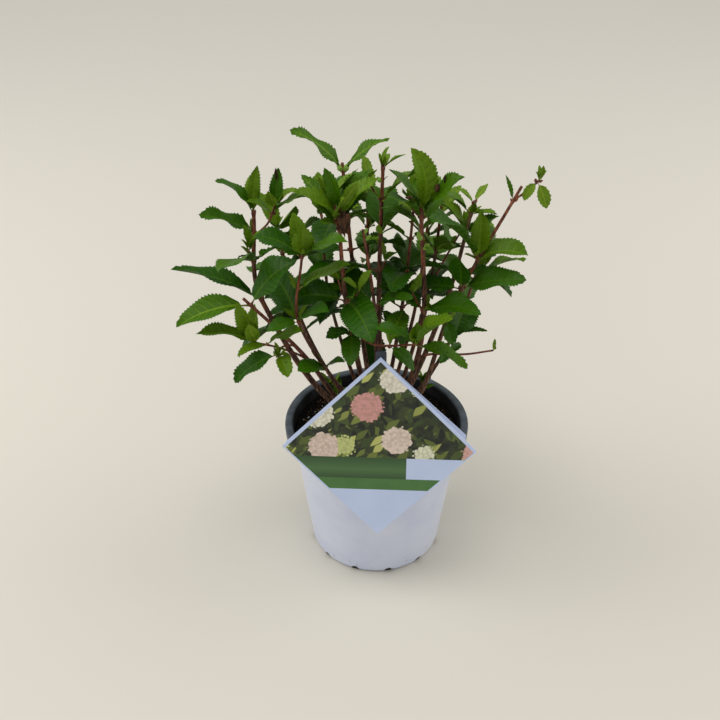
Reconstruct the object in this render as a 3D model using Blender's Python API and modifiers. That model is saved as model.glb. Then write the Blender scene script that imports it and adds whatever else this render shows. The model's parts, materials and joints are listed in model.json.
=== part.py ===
"""Young panicle hydrangea in a 17 cm nursery pot, with its plain folded card on a stake.

Blender 4.5, metres, +Z up. The origin is the centre of the pot's flat underside, which stands on the ground.
X runs to the plant's right and Y to its back. The shrub has a short root crown, long bare stems that fan out
of it, and one leafy mass at the end of each stem. Every mass is grown by one seeded rule: opposite leaves, each
pair turned a quarter from the pair above, and short side shoots in some of their axils. A leaf or side shoot
that would touch another mass, a stem, the pot or the card is turned aside, and left out if that doesn't help.
"""

import itertools
import math
import random
from collections import namedtuple

import bmesh
import bpy
from mathutils import Matrix, Vector
from mathutils.bvhtree import BVHTree

CM = 0.01
MM = 0.001
GAP = 0.3 * MM                      # left between pieces that touch
SEED = 17

# Pot
POT_HEIGHT = 137 * MM
RIM_RADIUS = 85 * MM
LIP_DEPTH = 9 * MM
LIP_WIDTH = 7 * MM
LIP_ROUND = 1.5 * MM
LIP_THICK = 3 * MM                  # the rolled lip's top, over a hollow skirt
LIP_TAPER = 0.6 * MM
WALL = 1.4 * MM
WALL_TOP_RADIUS = 77.5 * MM         # outside, just under the lip
WALL_FOOT_RADIUS = 62 * MM          # outside, above the rounded foot
FOOT_ROUND = 4 * MM
FLOOR = 6 * MM
NOTCHES = 12
NOTCH_RADIUS = 5 * MM
NOTCH_DEPTH = -1.6 * MM             # height of the notches' centre
NOTCH_REACH = 1.2 * MM
NOTCH_TURN = math.radians(11)
FOOT_STEPS = 4
FLOOR_EDGE = 6 * MM                 # the inside corner's bevel
POT_SIDES = 32

# Soil and root crown
SOIL_LEVEL = 119 * MM
SOIL_LUMP = 2.2 * MM
CROWN_X = 2 * MM
CROWN_Y = 2 * MM
CROWN_BASE = SOIL_LEVEL + GAP
CROWN_SHOULDER = 4.5 * MM           # the domed head starts this far above the flat cut
CROWN_RADIUS = 20 * MM
CROWN_DOME = 15 * MM
CROWN_FLARE = 25 * MM

# Card and stake
CARD_SIDE = 117.6 * MM
CARD_THICK = 0.7 * MM
CARD_TILT = math.radians(13.2)      # the card leans back
CARD_YAW = math.radians(-2.7)
CARD_CENTRE = Vector((0.08, -7.947, 16.66)) * CM
CARD_CURL = 128 * MM                # radius of the back card's curled right half
STAKE_WIDTH = 9 * MM
STAKE_THICK = 1.6 * MM
STAKE_TOP = Vector((0.2, -5.775, 25.2)) * CM
STAKE_FOOT = Vector((0.2, -6.8, 8.5)) * CM

# Leaves
PETIOLE = 0.13                      # of the blade's length
LEAF_FOLD = math.radians(16)        # each half of the blade rises from the midrib
LEAF_THICK = 0.02                   # of the blade's length
LARGE_LEAF = 50 * MM                # a longer one gets more cross-sections
CLEARANCE = 0.6 * MM                # every leaf is tested this much larger all over

# A main stem: where it leaves the root crown, the point its bend passes, its tip (cm), its radius at the foot
# (mm), its leaf nodes as distances below the tip (cm), the heading of the top pair, the longest leaf (cm), and
# the stub above the top pair where it has been pruned (cm).
Shoot = namedtuple("Shoot", "name azimuth rise knee tip girth nodes turn leaf stub")
SHOOTS = (
    Shoot("left_tall", 178, 36, (-10.0, 0.3, 26.4), (-10.4, 1.8, 34.2),
          3.2, (0.3, 1.9, 4.4, 7.9, 11.0), 60, 5.4, 0),
    Shoot("left_low", 200, 46, (-6.6, -2.1, 22.6), (-11.2, -2.6, 28.3), 2.6, (0.9,), 190, 5.6, 0.9),
    Shoot("left_centre", 218, 62, (-6.6, -3.0, 26.0), (-6.2, -3.0, 32.6),
          2.1, (0.3, 3.2, 6.4, 12.0), 280, 5.6, 0),
    Shoot("top_centre", 128, 76, (-1.9, 2.5, 26.0), (-3.0, 3.0, 37.9),
          2.6, (0.8, 4.4, 8.0, 11.4, 14.0), 175, 6.0, 0.8),
    Shoot("front_rosette", 197, 77, (-2.6, -1.6, 26.5), (-3.3, -2.0, 36.2),
          2.9, (0.2, 0.9, 1.9, 8.8, 12.2), 30, 5.4, 0),
    Shoot("mid_front", 262, 75, (-0.3, -1.4, 26.5), (-1.3, -1.7, 34.2), 2.2, (7.4,), 165, 5.6, 0.8),
    Shoot("mid_back", 13, 88, (0.1, 1.2, 26.5), (0.3, 1.0, 38.5),
          2.9, (0.2, 3.0, 6.2, 9.8, 13.2), 114, 5.8, 0),
    Shoot("right_front", 338, 65, (3.8, -0.8, 23.0), (3.3, -2.0, 36.2),
          3.0, (0.2, 0.9, 1.8, 10.2), 80, 5.6, 0),
    Shoot("right_mid", 55, 73, (2.4, 2.7, 26.0), (3.0, 3.2, 33.8), 2.2, (0.3, 3.0, 6.4, 9.6), 70, 5.8, 0),
    Shoot("right_back", 43, 56, (4.8, 4.6, 26.0), (5.6, 5.0, 35.0), 2.2, (3.0, 6.4, 9.8), 35, 4.4, 0),
    Shoot("right_brown", 12, 60, (5.8, 1.3, 25.0), (7.9, 1.5, 35.2), 2.8, (0.2, 1.2, 3.2, 6.8), 50, 5.2, 0),
    Shoot("far_right", 350, 46, (6.6, -0.6, 27.0), (11.4, 0.0, 37.2),
          2.4, (1.4, 7.2, 10.2, 13.4), 350, 5.4, 1.2),
    Shoot("back_left", 138, 59, (-4.2, 3.8, 24.0), (-4.9, 5.0, 32.4), 2.0, (0.3, 2.6, 6.0, 9.0), 110, 5.4, 0),
    Shoot("back_mid", 99, 56, (-0.7, 5.4, 23.0), (-0.9, 7.6, 32.2),
          2.2, (0.3, 2.4, 5.6, 8.8, 11.8), 80, 5.6, 0),
    Shoot("back_right", 66, 44, (3.6, 6.6, 21.5), (4.8, 9.2, 30.5), 2.2, (0.3, 2.4, 5.4, 8.6), 60, 5.6, 0),
    Shoot("back_far_left", 154, 41, (-6.6, 4.4, 20.8), (-9.0, 6.6, 30.0),
          2.2, (0.3, 2.4, 5.4, 8.6), 140, 5.6, 0),
    Shoot("right_low", 27, 37, (6.8, 3.9, 19.8), (9.4, 5.4, 28.0), 2.1, (0.3, 2.4, 5.2, 7.8), 75, 5.2, 0),
    Shoot("sucker_left", 130, 16, (-3.4, 3.6, 13.3), (-4.6, 5.0, 13.9), 1.3, (0.2, 1.4), 40, 2.6, 0),
    Shoot("sucker_right", 50, 16, (3.6, 4.0, 13.3), (4.6, 5.4, 14.0), 1.3, (0.2, 1.4), 130, 2.6, 0),
)

# A side branch: the main stem it leaves, how far below that stem's tip (cm), the point its bend passes, its tip.
Branch = namedtuple("Branch", "name parent below knee tip girth nodes turn leaf stub")
BRANCHES = (
    Branch("twin", "left_tall", 2.4, (-9.2, 1.2, 33.3), (-8.5, 1.1, 35.0), 1.1, (0.2, 0.9), 80, 3.4, 0),
    Branch("low_reach", "left_low", 8.4, (-8.2, -3.0, 23.6), (-10.6, -3.2, 24.4),
          1.1, (0.3, 1.2), 100, 4.6, 0),
    Branch("low_hang", "left_low", 6.4, (-8.3, -2.9, 23.6), (-8.5, -3.6, 23.1), 1.0, (0.3,), 235, 4.4, 0),
    Branch("front_cross", "front_rosette", 12.0, (-0.4, -3.3, 24.2), (3.2, -5.0, 25.3),
          1.2, (0.2, 2.6), 330, 4.6, 0),
    Branch("bare_twig", "right_front", 15.2, (7.8, -1.2, 21.8), (10.1, -1.2, 22.2),
          1.2, (3.9,), 60, 1.8, 0.9),
    Branch("red_twig", "far_right", 1.4, (11.9, 0.0, 36.8), (12.7, -0.2, 37.8), 1.0, (0.2,), 0, 3.0, 0),
    Branch("back_fork", "right_back", 10.4, (6.0, 4.2, 28.4), (7.5, 4.2, 31.6), 1.1, (0.2, 2.6), 10, 3.2, 0),
)

# A long leaf that draws the crown's outline: its stem, its node counted from the tip, the leaf's tip (cm), how
# far it arches over (degrees), its width over its length, the tilt of its blade (degrees), and whether it's young.
Outline = namedtuple("Outline", "stem node tip arch width roll young")
OUTLINE_LEAVES = (
    Outline("top_centre", 0, (-7.2, 2.4, 41.0), 34, 0.36, -14, False),
    Outline("top_centre", 0, (0.9, 2.6, 40.2), 34, 0.37, 14, False),
    Outline("left_tall", 3, (-17.4, -0.6, 29.9), 22, 0.34, -6, False),
    Outline("left_low", 0, (-6.6, -2.6, 31.9), 34, 0.60, 25, False),
    Outline("left_tall", 3, (-7.4, -0.8, 27.2), 30, 0.50, 12, False),
    Outline("left_tall", 1, (-14.8, 0.6, 34.4), 24, 0.46, -8, False),
    Outline("left_tall", 0, (-13.3, 0.8, 37.3), 44, 0.44, -14, False),
    Outline("left_tall", 0, (-9.8, 1.4, 38.4), 12, 0.30, -60, True),
    Outline("twin", 0, (-8.1, 1.4, 38.2), 12, 0.42, 50, False),
    Outline("twin", 0, (-6.6, 1.6, 36.2), 40, 0.50, 10, True),
    Outline("left_low", 0, (-16.8, -4.0, 26.3), 42, 0.43, -22, True),
    Outline("low_reach", 0, (-11.7, -3.8, 28.6), 20, 0.50, 55, True),
    Outline("low_reach", 0, (-15.2, -4.2, 25.8), 30, 0.40, -10, True),
    Outline("low_reach", 1, (-12.7, -4.0, 24.2), 30, 0.42, -10, True),
    Outline("low_hang", 0, (-12.2, -4.6, 21.1), 36, 0.50, -14, False),
    Outline("low_hang", 0, (-7.6, -5.2, 22.1), 24, 0.74, 0, True),
    Outline("low_hang", 0, (-7.4, -3.2, 22.6), 30, 0.60, 12, True),
    Outline("left_centre", 0, (-6.0, -4.2, 35.8), 20, 0.60, 0, True),
    Outline("left_centre", 0, (-10.0, -3.2, 34.4), 44, 0.56, -20, False),
    Outline("left_centre", 0, (-2.4, -5.0, 34.8), 36, 0.45, 8, False),
    Outline("left_centre", 2, (-9.2, -4.8, 26.4), 40, 0.50, -20, False),
    Outline("left_centre", 2, (-4.0, -5.4, 28.7), 44, 0.56, 15, False),
    Outline("front_rosette", 0, (-4.3, -2.2, 39.8), 10, 0.40, 65, False),
    Outline("front_rosette", 0, (-2.4, -2.4, 39.6), 10, 0.38, -60, True),
    Outline("front_rosette", 1, (-6.8, -3.2, 38.2), 30, 0.52, -18, True),
    Outline("front_rosette", 1, (-0.1, -3.4, 39.1), 30, 0.48, 20, True),
    Outline("front_rosette", 2, (-6.2, -0.6, 38.5), 22, 0.36, -10, False),
    Outline("front_rosette", 2, (-0.6, -0.6, 39.0), 20, 0.50, 10, False),
    Outline("left_centre", 3, (-6.8, -5.0, 22.6), 40, 0.58, -14, False),
    Outline("left_centre", 3, (-2.8, -3.6, 22.6), 30, 0.50, 8, False),
    Outline("front_rosette", 4, (-4.4, -3.6, 25.0), 36, 0.50, -14, False),
    Outline("front_rosette", 4, (-1.6, -4.6, 22.6), 50, 0.56, 15, False),
    Outline("right_front", 0, (0.6, -3.0, 40.0), 26, 0.48, -18, False),
    Outline("right_front", 0, (2.3, -1.6, 41.2), 50, 0.44, -50, True),
    Outline("right_front", 1, (5.5, -3.2, 41.1), 24, 0.46, 30, False),
    Outline("right_front", 1, (0.5, -4.2, 38.2), 36, 0.52, -10, False),
    Outline("right_front", 2, (0.0, -3.4, 36.9), 30, 0.34, -14, False),
    Outline("right_front", 3, (9.1, -2.6, 26.8), 52, 0.54, 12, False),
    Outline("mid_back", 0, (0.8, 2.2, 39.5), 12, 0.50, 0, True),
    Outline("mid_back", 0, (2.1, 0.5, 39.7), 20, 0.34, 0, True),
    Outline("mid_back", 1, (-1.5, 0.0, 37.0), 24, 0.50, 0, True),
    Outline("mid_back", 1, (-1.2, 2.6, 36.4), 24, 0.50, 10, False),
    Outline("mid_back", 2, (2.4, -0.8, 35.8), 24, 0.48, 14, False),
    Outline("mid_front", 0, (2.9, -3.0, 28.6), 34, 0.50, 12, False),
    Outline("far_right", 1, (8.1, -1.5, 35.9), 12, 0.42, 0, True),
    Outline("far_right", 1, (3.7, -4.2, 36.5), 30, 0.36, -16, False),
    Outline("far_right", 1, (12.4, -1.0, 31.4), 66, 0.62, 14, True),
    Outline("far_right", 2, (12.2, -2.2, 29.8), 34, 0.52, 14, False),
    Outline("far_right", 2, (6.3, -2.4, 32.0), 40, 0.52, -6, False),
    Outline("far_right", 0, (10.6, 0.0, 38.5), 8, 0.20, -60, False),
    Outline("red_twig", 0, (13.5, -0.4, 35.4), 24, 0.54, 65, True),
    Outline("red_twig", 0, (11.6, -0.6, 36.2), 40, 0.56, -60, True),
    Outline("right_brown", 0, (6.3, 2.0, 36.2), 10, 0.47, 0, True),
    Outline("right_brown", 0, (9.2, 3.8, 35.7), 14, 0.32, 0, True),
    Outline("right_brown", 1, (9.8, 1.0, 34.2), 20, 0.52, 0, True),
    Outline("right_brown", 2, (5.0, 0.4, 35.5), 30, 0.52, -24, True),
    Outline("right_brown", 2, (10.0, 0.9, 34.1), 30, 0.50, 20, False),
    Outline("right_low", 3, (10.1, 3.0, 21.5), 30, 0.26, 20, False),
    Outline("far_right", 3, (6.4, -2.2, 23.3), 34, 0.62, 0, False),
    Outline("front_cross", 0, (3.1, -5.4, 27.8), 10, 0.62, 0, True),
    Outline("front_cross", 0, (5.8, -7.2, 29.2), 22, 0.58, 16, True),
    Outline("front_cross", 0, (-0.1, -5.0, 30.3), 36, 0.42, -12, False),
    Outline("front_cross", 0, (7.3, -6.4, 23.8), 30, 0.47, 0, True),
    Outline("front_cross", 1, (2.5, -5.6, 22.6), 30, 0.60, 6, False),
)

# Size against the longest leaf, rise of the stalk and arch of the blade (degrees), from the tip's pair down.
LEAF_ORDERS = ((0.62, 60, 18), (0.84, 42, 34), (1.0, 26, 46), (1.0, 16, 52), (0.92, 8, 50))

# What is tried in turn where a leaf doesn't fit: turned aside and lifted (degrees), and made smaller.
TRIES = ((0, 0, 1), (13, 6, 1), (-13, 6, 1), (0, 16, 0.95), (26, 0, 0.9), (-26, 0, 0.9), (0, -16, 0.9),
         (38, 14, 0.8), (-38, 14, 0.8), (0, 30, 0.75), (20, -24, 0.75), (-20, -24, 0.75))

MERGE = 0.0005 * MM                 # nearer points of a union are one
LEADER_TRIES = tuple((5 + k % 3, 0.17 * k) for k in range(12))   # sides and turn of the leader's facets (radians)
FACE_OUT = 0.5                      # how far a blade leans to face away from the plant's middle (radians)
SIDE_SHOOT_SHARE = 0.2              # of the leaf axils
STEM_STEP = 28 * MM                 # a longer stem gets one more cross-section each


def rgb(red, green, blue):
    """Linear colour from 0-255 display values."""
    return tuple((c / 255) ** 2.2 for c in (red, green, blue)) + (1.0,)


MATERIALS = {
    "pot": (rgb(214, 218, 228), 0.45),
    "soil": (rgb(38, 33, 30), 0.95),
    "bark": (rgb(96, 62, 48), 0.75),
    "leaf": (rgb(58, 104, 30), 0.5),
    "card": (rgb(226, 229, 238), 0.35),
    "stake": (rgb(60, 72, 96), 0.5),
}


# ---------------------------------------------------------------- scene helpers

def clear_scene():
    for obj in list(bpy.data.objects):
        bpy.data.objects.remove(obj, do_unlink=True)


def make_collection(name):
    group = bpy.data.collections.new(name)
    bpy.context.scene.collection.children.link(group)
    return group


def make_material(name, finish):
    colour, roughness = MATERIALS[finish]
    material = bpy.data.materials.new(name)
    material.use_nodes = True
    shader = material.node_tree.nodes["Principled BSDF"]
    shader.inputs["Base Color"].default_value = colour
    shader.inputs["Roughness"].default_value = roughness
    shader.inputs["Metallic"].default_value = 0.0
    return material


def add_object(name, data, group, finish=None):
    obj = bpy.data.objects.new(name, data)
    group.objects.link(obj)
    if finish:
        data.materials.append(make_material(name, finish))
    return obj


def mesh_from(name, verts, faces):
    mesh = bpy.data.meshes.new(name)
    mesh.from_pydata([tuple(v) for v in verts], [], faces)
    mesh.update()
    return mesh


def baked_mesh(obj):
    """The object's mesh as its modifiers leave it."""
    bpy.context.view_layer.update()
    graph = bpy.context.evaluated_depsgraph_get()
    return bpy.data.meshes.new_from_object(obj.evaluated_get(graph))


def make_cutter(obj):
    obj.hide_render = True
    obj.display_type = "WIRE"


def cut(obj, cutter):
    boolean = obj.modifiers.new("cut " + cutter.name, "BOOLEAN")
    boolean.operation = "DIFFERENCE"
    boolean.solver = "EXACT"
    boolean.object = cutter


def turned(name, profile, sides, group, finish=None):
    """A solid of revolution about Z from (radius, height) points that run down its outer side."""
    mesh = mesh_from(name, [(r, 0, z) for r, z in profile], [])
    mesh.edges.add(len(profile) - 1)
    for i, edge in enumerate(mesh.edges):
        edge.vertices = (i, i + 1)
    obj = add_object(name, mesh, group, finish)
    screw = obj.modifiers.new("turn", "SCREW")
    screw.angle = math.tau
    screw.steps = sides
    screw.render_steps = sides
    screw.use_merge_vertices = True
    screw.merge_threshold = 0.00005
    return obj


# ---------------------------------------------------------------- pot, soil, card, stake

def wall_radius(height):
    """Outside radius of the pot's tapered wall at a height."""
    share = (height - FOOT_ROUND) / (POT_HEIGHT - LIP_DEPTH - FOOT_ROUND)
    return WALL_FOOT_RADIUS + (WALL_TOP_RADIUS - WALL_FOOT_RADIUS) * share


def make_pot(group, cutters):
    top = POT_HEIGHT
    inside = RIM_RADIUS - LIP_WIDTH
    skirt = RIM_RADIUS - LIP_TAPER
    profile = [
        (0, FLOOR),
        (WALL_FOOT_RADIUS - FLOOR_EDGE, FLOOR),
        (WALL_FOOT_RADIUS - WALL, FLOOR + FLOOR_EDGE),
        (wall_radius(top - LIP_DEPTH) - WALL, top - LIP_DEPTH),
        (inside, top - LIP_ROUND),
        (inside + LIP_ROUND, top),
        (RIM_RADIUS - LIP_ROUND, top),
        (RIM_RADIUS, top - LIP_ROUND),
        (skirt, top - LIP_DEPTH),
        (skirt - WALL, top - LIP_DEPTH),
        (skirt - WALL, top - LIP_THICK),
        (wall_radius(top - LIP_THICK), top - LIP_THICK),
        (wall_radius(top - LIP_DEPTH), top - LIP_DEPTH),
    ]
    for step in range(FOOT_STEPS):
        turn = math.radians(90) * step / (FOOT_STEPS - 1)
        profile.append((WALL_FOOT_RADIUS - FOOT_ROUND * (1 - math.cos(turn)), FOOT_ROUND * (1 - math.sin(turn))))
    profile.append((0, 0))
    pot = turned("pot", profile, POT_SIDES, group, "pot")
    pot.data.shade_smooth()
    for k in range(NOTCHES):
        turn = NOTCH_TURN - math.pi / 2 + math.tau * k / NOTCHES
        bpy.ops.mesh.primitive_cylinder_add(vertices=12, radius=NOTCH_RADIUS, depth=10 * MM)
        notch = bpy.context.object
        notch.name = "foot_notch_%02d" % k
        reach = WALL_FOOT_RADIUS + NOTCH_REACH
        notch.location = (reach * math.cos(turn), reach * math.sin(turn), NOTCH_DEPTH)
        notch.rotation_euler = (0, math.radians(90), turn)
        for old in list(notch.users_collection):
            old.objects.unlink(notch)
        cutters.objects.link(notch)
        make_cutter(notch)
        cut(pot, notch)


SOIL_EDGE = wall_radius(SOIL_LEVEL) - WALL - GAP


def soil_height(x, y):
    """Lumpy top of the potting soil, flat under the root crown and just inside the wall."""
    r = math.hypot(x, y)
    calm = min(max((r - CROWN_FLARE - 3 * MM) / (14 * MM), 0), 1) if r < SOIL_EDGE - MM else 0
    wave = math.sin(x / MM * 0.31 + 1.0) * math.cos(y / MM * 0.27) + 0.6 * math.sin((x - y) / MM * 0.17 + 2.0)
    return SOIL_LEVEL + SOIL_LUMP * calm * (wave - 0.8) * 0.6


def make_soil(group, cutters):
    rings = (0, 0.42 * SOIL_EDGE, 0.62 * SOIL_EDGE, 0.82 * SOIL_EDGE, SOIL_EDGE)
    profile = [(r, SOIL_LEVEL) for r in rings]
    profile += [
        (WALL_FOOT_RADIUS - WALL - GAP, FLOOR + FLOOR_EDGE + GAP),
        (WALL_FOOT_RADIUS - FLOOR_EDGE - GAP, FLOOR + GAP),
        (0, FLOOR + GAP),
    ]
    blank = turned("soil_blank", profile, POT_SIDES, group)
    mesh = baked_mesh(blank)
    bpy.data.objects.remove(blank, do_unlink=True)
    for vert in mesh.vertices:
        if vert.co.z > SOIL_LEVEL - MM:
            vert.co.z = soil_height(vert.co.x, vert.co.y)
    mesh.name = "soil"
    soil = add_object("soil", mesh, group, "soil")
    pocket = stake_mesh("stake_pocket", GAP)
    pocket_obj = add_object("stake_pocket", pocket, cutters)
    make_cutter(pocket_obj)
    cut(soil, pocket_obj)


def stake_mesh(name, grow):
    """A flat strip from deep in the soil to just above the card, larger by grow all round."""
    axis = STAKE_TOP - STAKE_FOOT
    half = Vector((STAKE_WIDTH / 2 + grow, STAKE_THICK / 2 + grow, axis.length / 2 + grow))
    work = bmesh.new()
    bmesh.ops.create_cube(work, size=2.0)
    bmesh.ops.scale(work, vec=half, verts=work.verts)
    up = axis.normalized()
    side = Vector((1, 0, 0))
    place = Matrix((side, up.cross(side), up)).transposed().to_4x4()
    place.translation = (STAKE_TOP + STAKE_FOOT) / 2
    bmesh.ops.transform(work, matrix=place, verts=work.verts)
    mesh = bpy.data.meshes.new(name)
    work.to_mesh(mesh)
    work.free()
    return mesh


def card_axes():
    """The card's rightward, upward and outward directions."""
    level = Vector((math.sin(CARD_YAW), -math.cos(CARD_YAW), 0))
    right = Vector((math.cos(CARD_YAW), math.sin(CARD_YAW), 0))
    up = Vector((0, 0, 1)) * math.cos(CARD_TILT) - level * math.sin(CARD_TILT)
    return right, up, right.cross(up)


def make_card_front(group):
    right, up, out = card_axes()
    bpy.ops.mesh.primitive_cube_add(size=1)
    card = bpy.context.object
    for old in list(card.users_collection):
        old.objects.unlink(card)
    group.objects.link(card)
    card.name = "card_front"
    card.data.name = "card_front"
    card.data.transform(Matrix.Diagonal((CARD_SIDE, CARD_SIDE, CARD_THICK, 1)))
    card.data.transform(Matrix.Rotation(math.radians(45), 4, "Z"))
    place = Matrix((right, up, out)).transposed().to_4x4()
    place.translation = CARD_CENTRE
    card.matrix_world = place
    card.data.materials.append(make_material("card_front", "card"))


def make_card_back(group):
    """The card's back leaf: flat behind the left half and curled round the pot behind the right half."""
    right, up, out = card_axes()
    half = CARD_SIDE / math.sqrt(2)
    columns = 16
    verts = []
    for k in range(1, columns):
        across = half * (2 * k / columns - 1)
        turn = max(across, 0) / CARD_CURL
        side = min(across, 0) + CARD_CURL * math.sin(turn)
        back = CARD_CURL * (1 - math.cos(turn)) + CARD_THICK + GAP
        spine = CARD_CENTRE + right * side - out * back
        reach = half - abs(across)
        verts += [spine - up * reach, spine + up * reach]
    faces = [(2 * k, 2 * k + 2, 2 * k + 3, 2 * k + 1) for k in range(columns - 2)]
    card = add_object("card_back", mesh_from("card_back", verts, faces), group, "card")
    thick = card.modifiers.new("thickness", "SOLIDIFY")
    thick.thickness = CARD_THICK
    thick.offset = 0.0


# ---------------------------------------------------------------- stems as lines

def crown_point(direction):
    """The point on the root crown's dome whose outward normal is this direction."""
    wide = CROWN_RADIUS ** 2
    high = CROWN_DOME ** 2
    scale = math.sqrt(wide * (direction.x ** 2 + direction.y ** 2) + high * direction.z ** 2)
    on_dome = Vector((wide * direction.x, wide * direction.y, high * direction.z)) / scale
    return Vector((CROWN_X, CROWN_Y, CROWN_BASE + CROWN_SHOULDER)) + on_dome


def heading_vector(azimuth, rise):
    return Vector((math.cos(azimuth) * math.cos(rise), math.sin(azimuth) * math.cos(rise), math.sin(rise)))


def curve_through(start, leave, knee, tip, count):
    """Points of a smooth curve that leaves start along a direction, passes the knee and ends at the tip."""
    first = (knee - start).length
    second = (tip - knee).length
    along = (tip - start).normalized()
    spans = (
        (start, knee, leave * first, along * first),
        (knee, tip, along * second, (tip - knee).normalized() * second),
    )
    points = []
    for begin, end, pull, push in spans:
        for k in range(count):
            t = k / count
            a = 2 * t ** 3 - 3 * t ** 2 + 1
            b = t ** 3 - 2 * t ** 2 + t
            points.append(begin * a + pull * b + end * (1 - a) + push * (t ** 3 - t ** 2))
    return points + [tip.copy()]


def line_length(points):
    return sum((b - a).length for a, b in zip(points, points[1:]))


def point_below_tip(points, distance):
    """Position and direction at a distance back from the line's end."""
    left = distance
    for a, b in zip(points[-2::-1], points[:0:-1]):
        step = (b - a).length
        if left <= step:
            return b + (a - b) * (left / step), (b - a).normalized()
        left -= step
    return points[0].copy(), (points[1] - points[0]).normalized()


def stretch(points, far, near, count):
    """Evenly spaced points of the line between two distances below its tip."""
    return [point_below_tip(points, far + (near - far) * k / (count - 1))[0] for k in range(count)]


def shoot_line(shoot):
    leave = heading_vector(math.radians(shoot.azimuth), math.radians(shoot.rise))
    start = crown_point(leave) + leave * GAP
    return curve_through(start, leave, Vector(shoot.knee) * CM, Vector(shoot.tip) * CM, 12)


def branch_line(branch, parent_line):
    start, along = point_below_tip(parent_line, branch.below * CM)
    knee = Vector(branch.knee) * CM
    leave = ((knee - start).normalized() + along * 0.6).normalized()
    return curve_through(start, leave, knee, Vector(branch.tip) * CM, 6)


# ---------------------------------------------------------------- leaves and tubes as rings

Leaf = namedtuple("Leaf", "root azimuth rise arch length width roll age")
Tube = namedtuple("Tube", "points radii")


def leaf_point(leaf, u):
    """Midrib point, side and upward vectors at u, 0 at the blade's base and 1 at its tip."""
    bend = leaf.arch * max(u, 0)
    if abs(leaf.arch) < 0.01:
        flat = math.cos(leaf.rise) * max(u, 0)
        high = math.sin(leaf.rise) * max(u, 0)
    else:
        flat = (math.sin(leaf.rise) - math.sin(leaf.rise - bend)) / leaf.arch
        high = (math.cos(leaf.rise - bend) - math.cos(leaf.rise)) / leaf.arch
    level = heading_vector(leaf.azimuth, 0)
    stalk = heading_vector(leaf.azimuth, leaf.rise) * leaf.length * PETIOLE * min(1 + u, 1)
    point = leaf.root + stalk + (level * flat + Vector((0, 0, high))) * leaf.length
    tilt = leaf.rise - bend
    side = Vector((-math.sin(leaf.azimuth), math.cos(leaf.azimuth), 0))
    up = Vector((0, 0, 1)) * math.cos(tilt) - level * math.sin(tilt)
    turn = leaf.roll * min(max(u + 1, 0), 1)
    return point, side * math.cos(turn) + up * math.sin(turn), up * math.cos(turn) - side * math.sin(turn)


def half_width(leaf, u):
    """Half the blade's width: ovate, widest near two fifths, drawn out to a point."""
    base = 0.62
    point = 0.92
    peak = base / (base + point)
    most = peak ** base * (1 - peak) ** point
    return leaf.length * leaf.width / 2 * u ** base * (1 - u) ** point / most


def leaf_rings(leaf, grow=0.0, from_blade=False):
    """Diamond cross-sections of a coarse leaf, and its tip."""
    large = leaf.length > LARGE_LEAF
    stations = (0.22, 0.5, 0.77) if large else (0.3, 0.66)
    stalk = max(0.012 * leaf.length, 0.55 * MM) + grow
    starts = (0,) if from_blade else (-1, 0) if large else (-1,)
    rings = []
    for u in starts:
        point, side, up = leaf_point(leaf, u)
        rings.append((point + side * stalk, point + up * stalk, point - side * stalk, point - up * stalk))
    for u in stations:
        point, side, up = leaf_point(leaf, u)
        wide = half_width(leaf, u) + grow
        lift = up * (half_width(leaf, u) * math.sin(LEAF_FOLD))
        thick = up * (leaf.length * LEAF_THICK / 2 + grow)
        out = side * (wide * math.cos(LEAF_FOLD))
        rings.append((point + out + lift, point + thick, point - out + lift, point - thick))
    tip = leaf_point(leaf, 1.0)[0]
    return rings, tip


def tube_rings(tube, sides, grow=0.0, spin=0.0):
    """Cross-sections of a tube along its points, turned as little as possible from one to the next."""
    rings = []
    side = None
    last = len(tube.points) - 1
    for k, point in enumerate(tube.points):
        along = (tube.points[min(k + 1, last)] - tube.points[max(k - 1, 0)]).normalized()
        if side is None:
            side = along.orthogonal().normalized()
        side = (side - along * side.dot(along)).normalized()
        other = along.cross(side)
        radius = tube.radii[k] + grow
        turns = [spin + math.tau * s / sides for s in range(sides)]
        rings.append([point + (side * math.cos(a) + other * math.sin(a)) * radius for a in turns])
    return rings


def loft(rings, tip=None):
    """Closed skin over rings of equal count, capped at the start, and at the end or drawn to a tip."""
    count = len(rings[0])
    verts = [point for ring in rings for point in ring]
    faces = [tuple(reversed(range(count)))]
    for k in range(len(rings) - 1):
        low = k * count
        for s in range(count):
            t = (s + 1) % count
            faces.append((low + s, low + t, low + count + t, low + count + s))
    low = (len(rings) - 1) * count
    if tip is None:
        faces.append(tuple(range(low, low + count)))
    else:
        verts.append(tip)
        faces += [(low + s, low + (s + 1) % count, len(verts) - 1) for s in range(count)]
    return verts, faces


# ---------------------------------------------------------------- the space each mass keeps

def in_the_way(point):
    """Whether a point is in or too near the pot, the soil, the card or its stake."""
    r = math.hypot(point.x, point.y)
    if point.z < POT_HEIGHT + 2 * MM:
        if wall_radius(point.z) - 4 * MM < r < RIM_RADIUS + 2 * MM:
            return True
        if r <= wall_radius(point.z) and point.z < SOIL_LEVEL + 3 * MM:
            return True
    if point.z < 3 * MM:
        return True
    right, up, out = card_axes()
    offset = point - CARD_CENTRE
    spread = abs(offset.dot(right)) + abs(offset.dot(up))
    if spread < CARD_SIDE / math.sqrt(2) + 6 * MM and -5 * MM < -offset.dot(out) < 7 * MM:
        return True
    if spread < CARD_SIDE / math.sqrt(2) and offset.dot(right) > 0 and 0 < -offset.dot(out) < 32 * MM:
        curl = offset.dot(right) ** 2 / (2 * CARD_CURL)
        if -offset.dot(out) < curl + 6 * MM:
            return True
    axis = STAKE_FOOT - STAKE_TOP
    share = min(max((point - STAKE_TOP).dot(axis) / axis.length_squared, 0), 1)
    return (STAKE_TOP + axis * share - point).length < 8 * MM


def box_of(points):
    return [min(p[i] for p in points) for i in range(3)], [max(p[i] for p in points) for i in range(3)]


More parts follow.
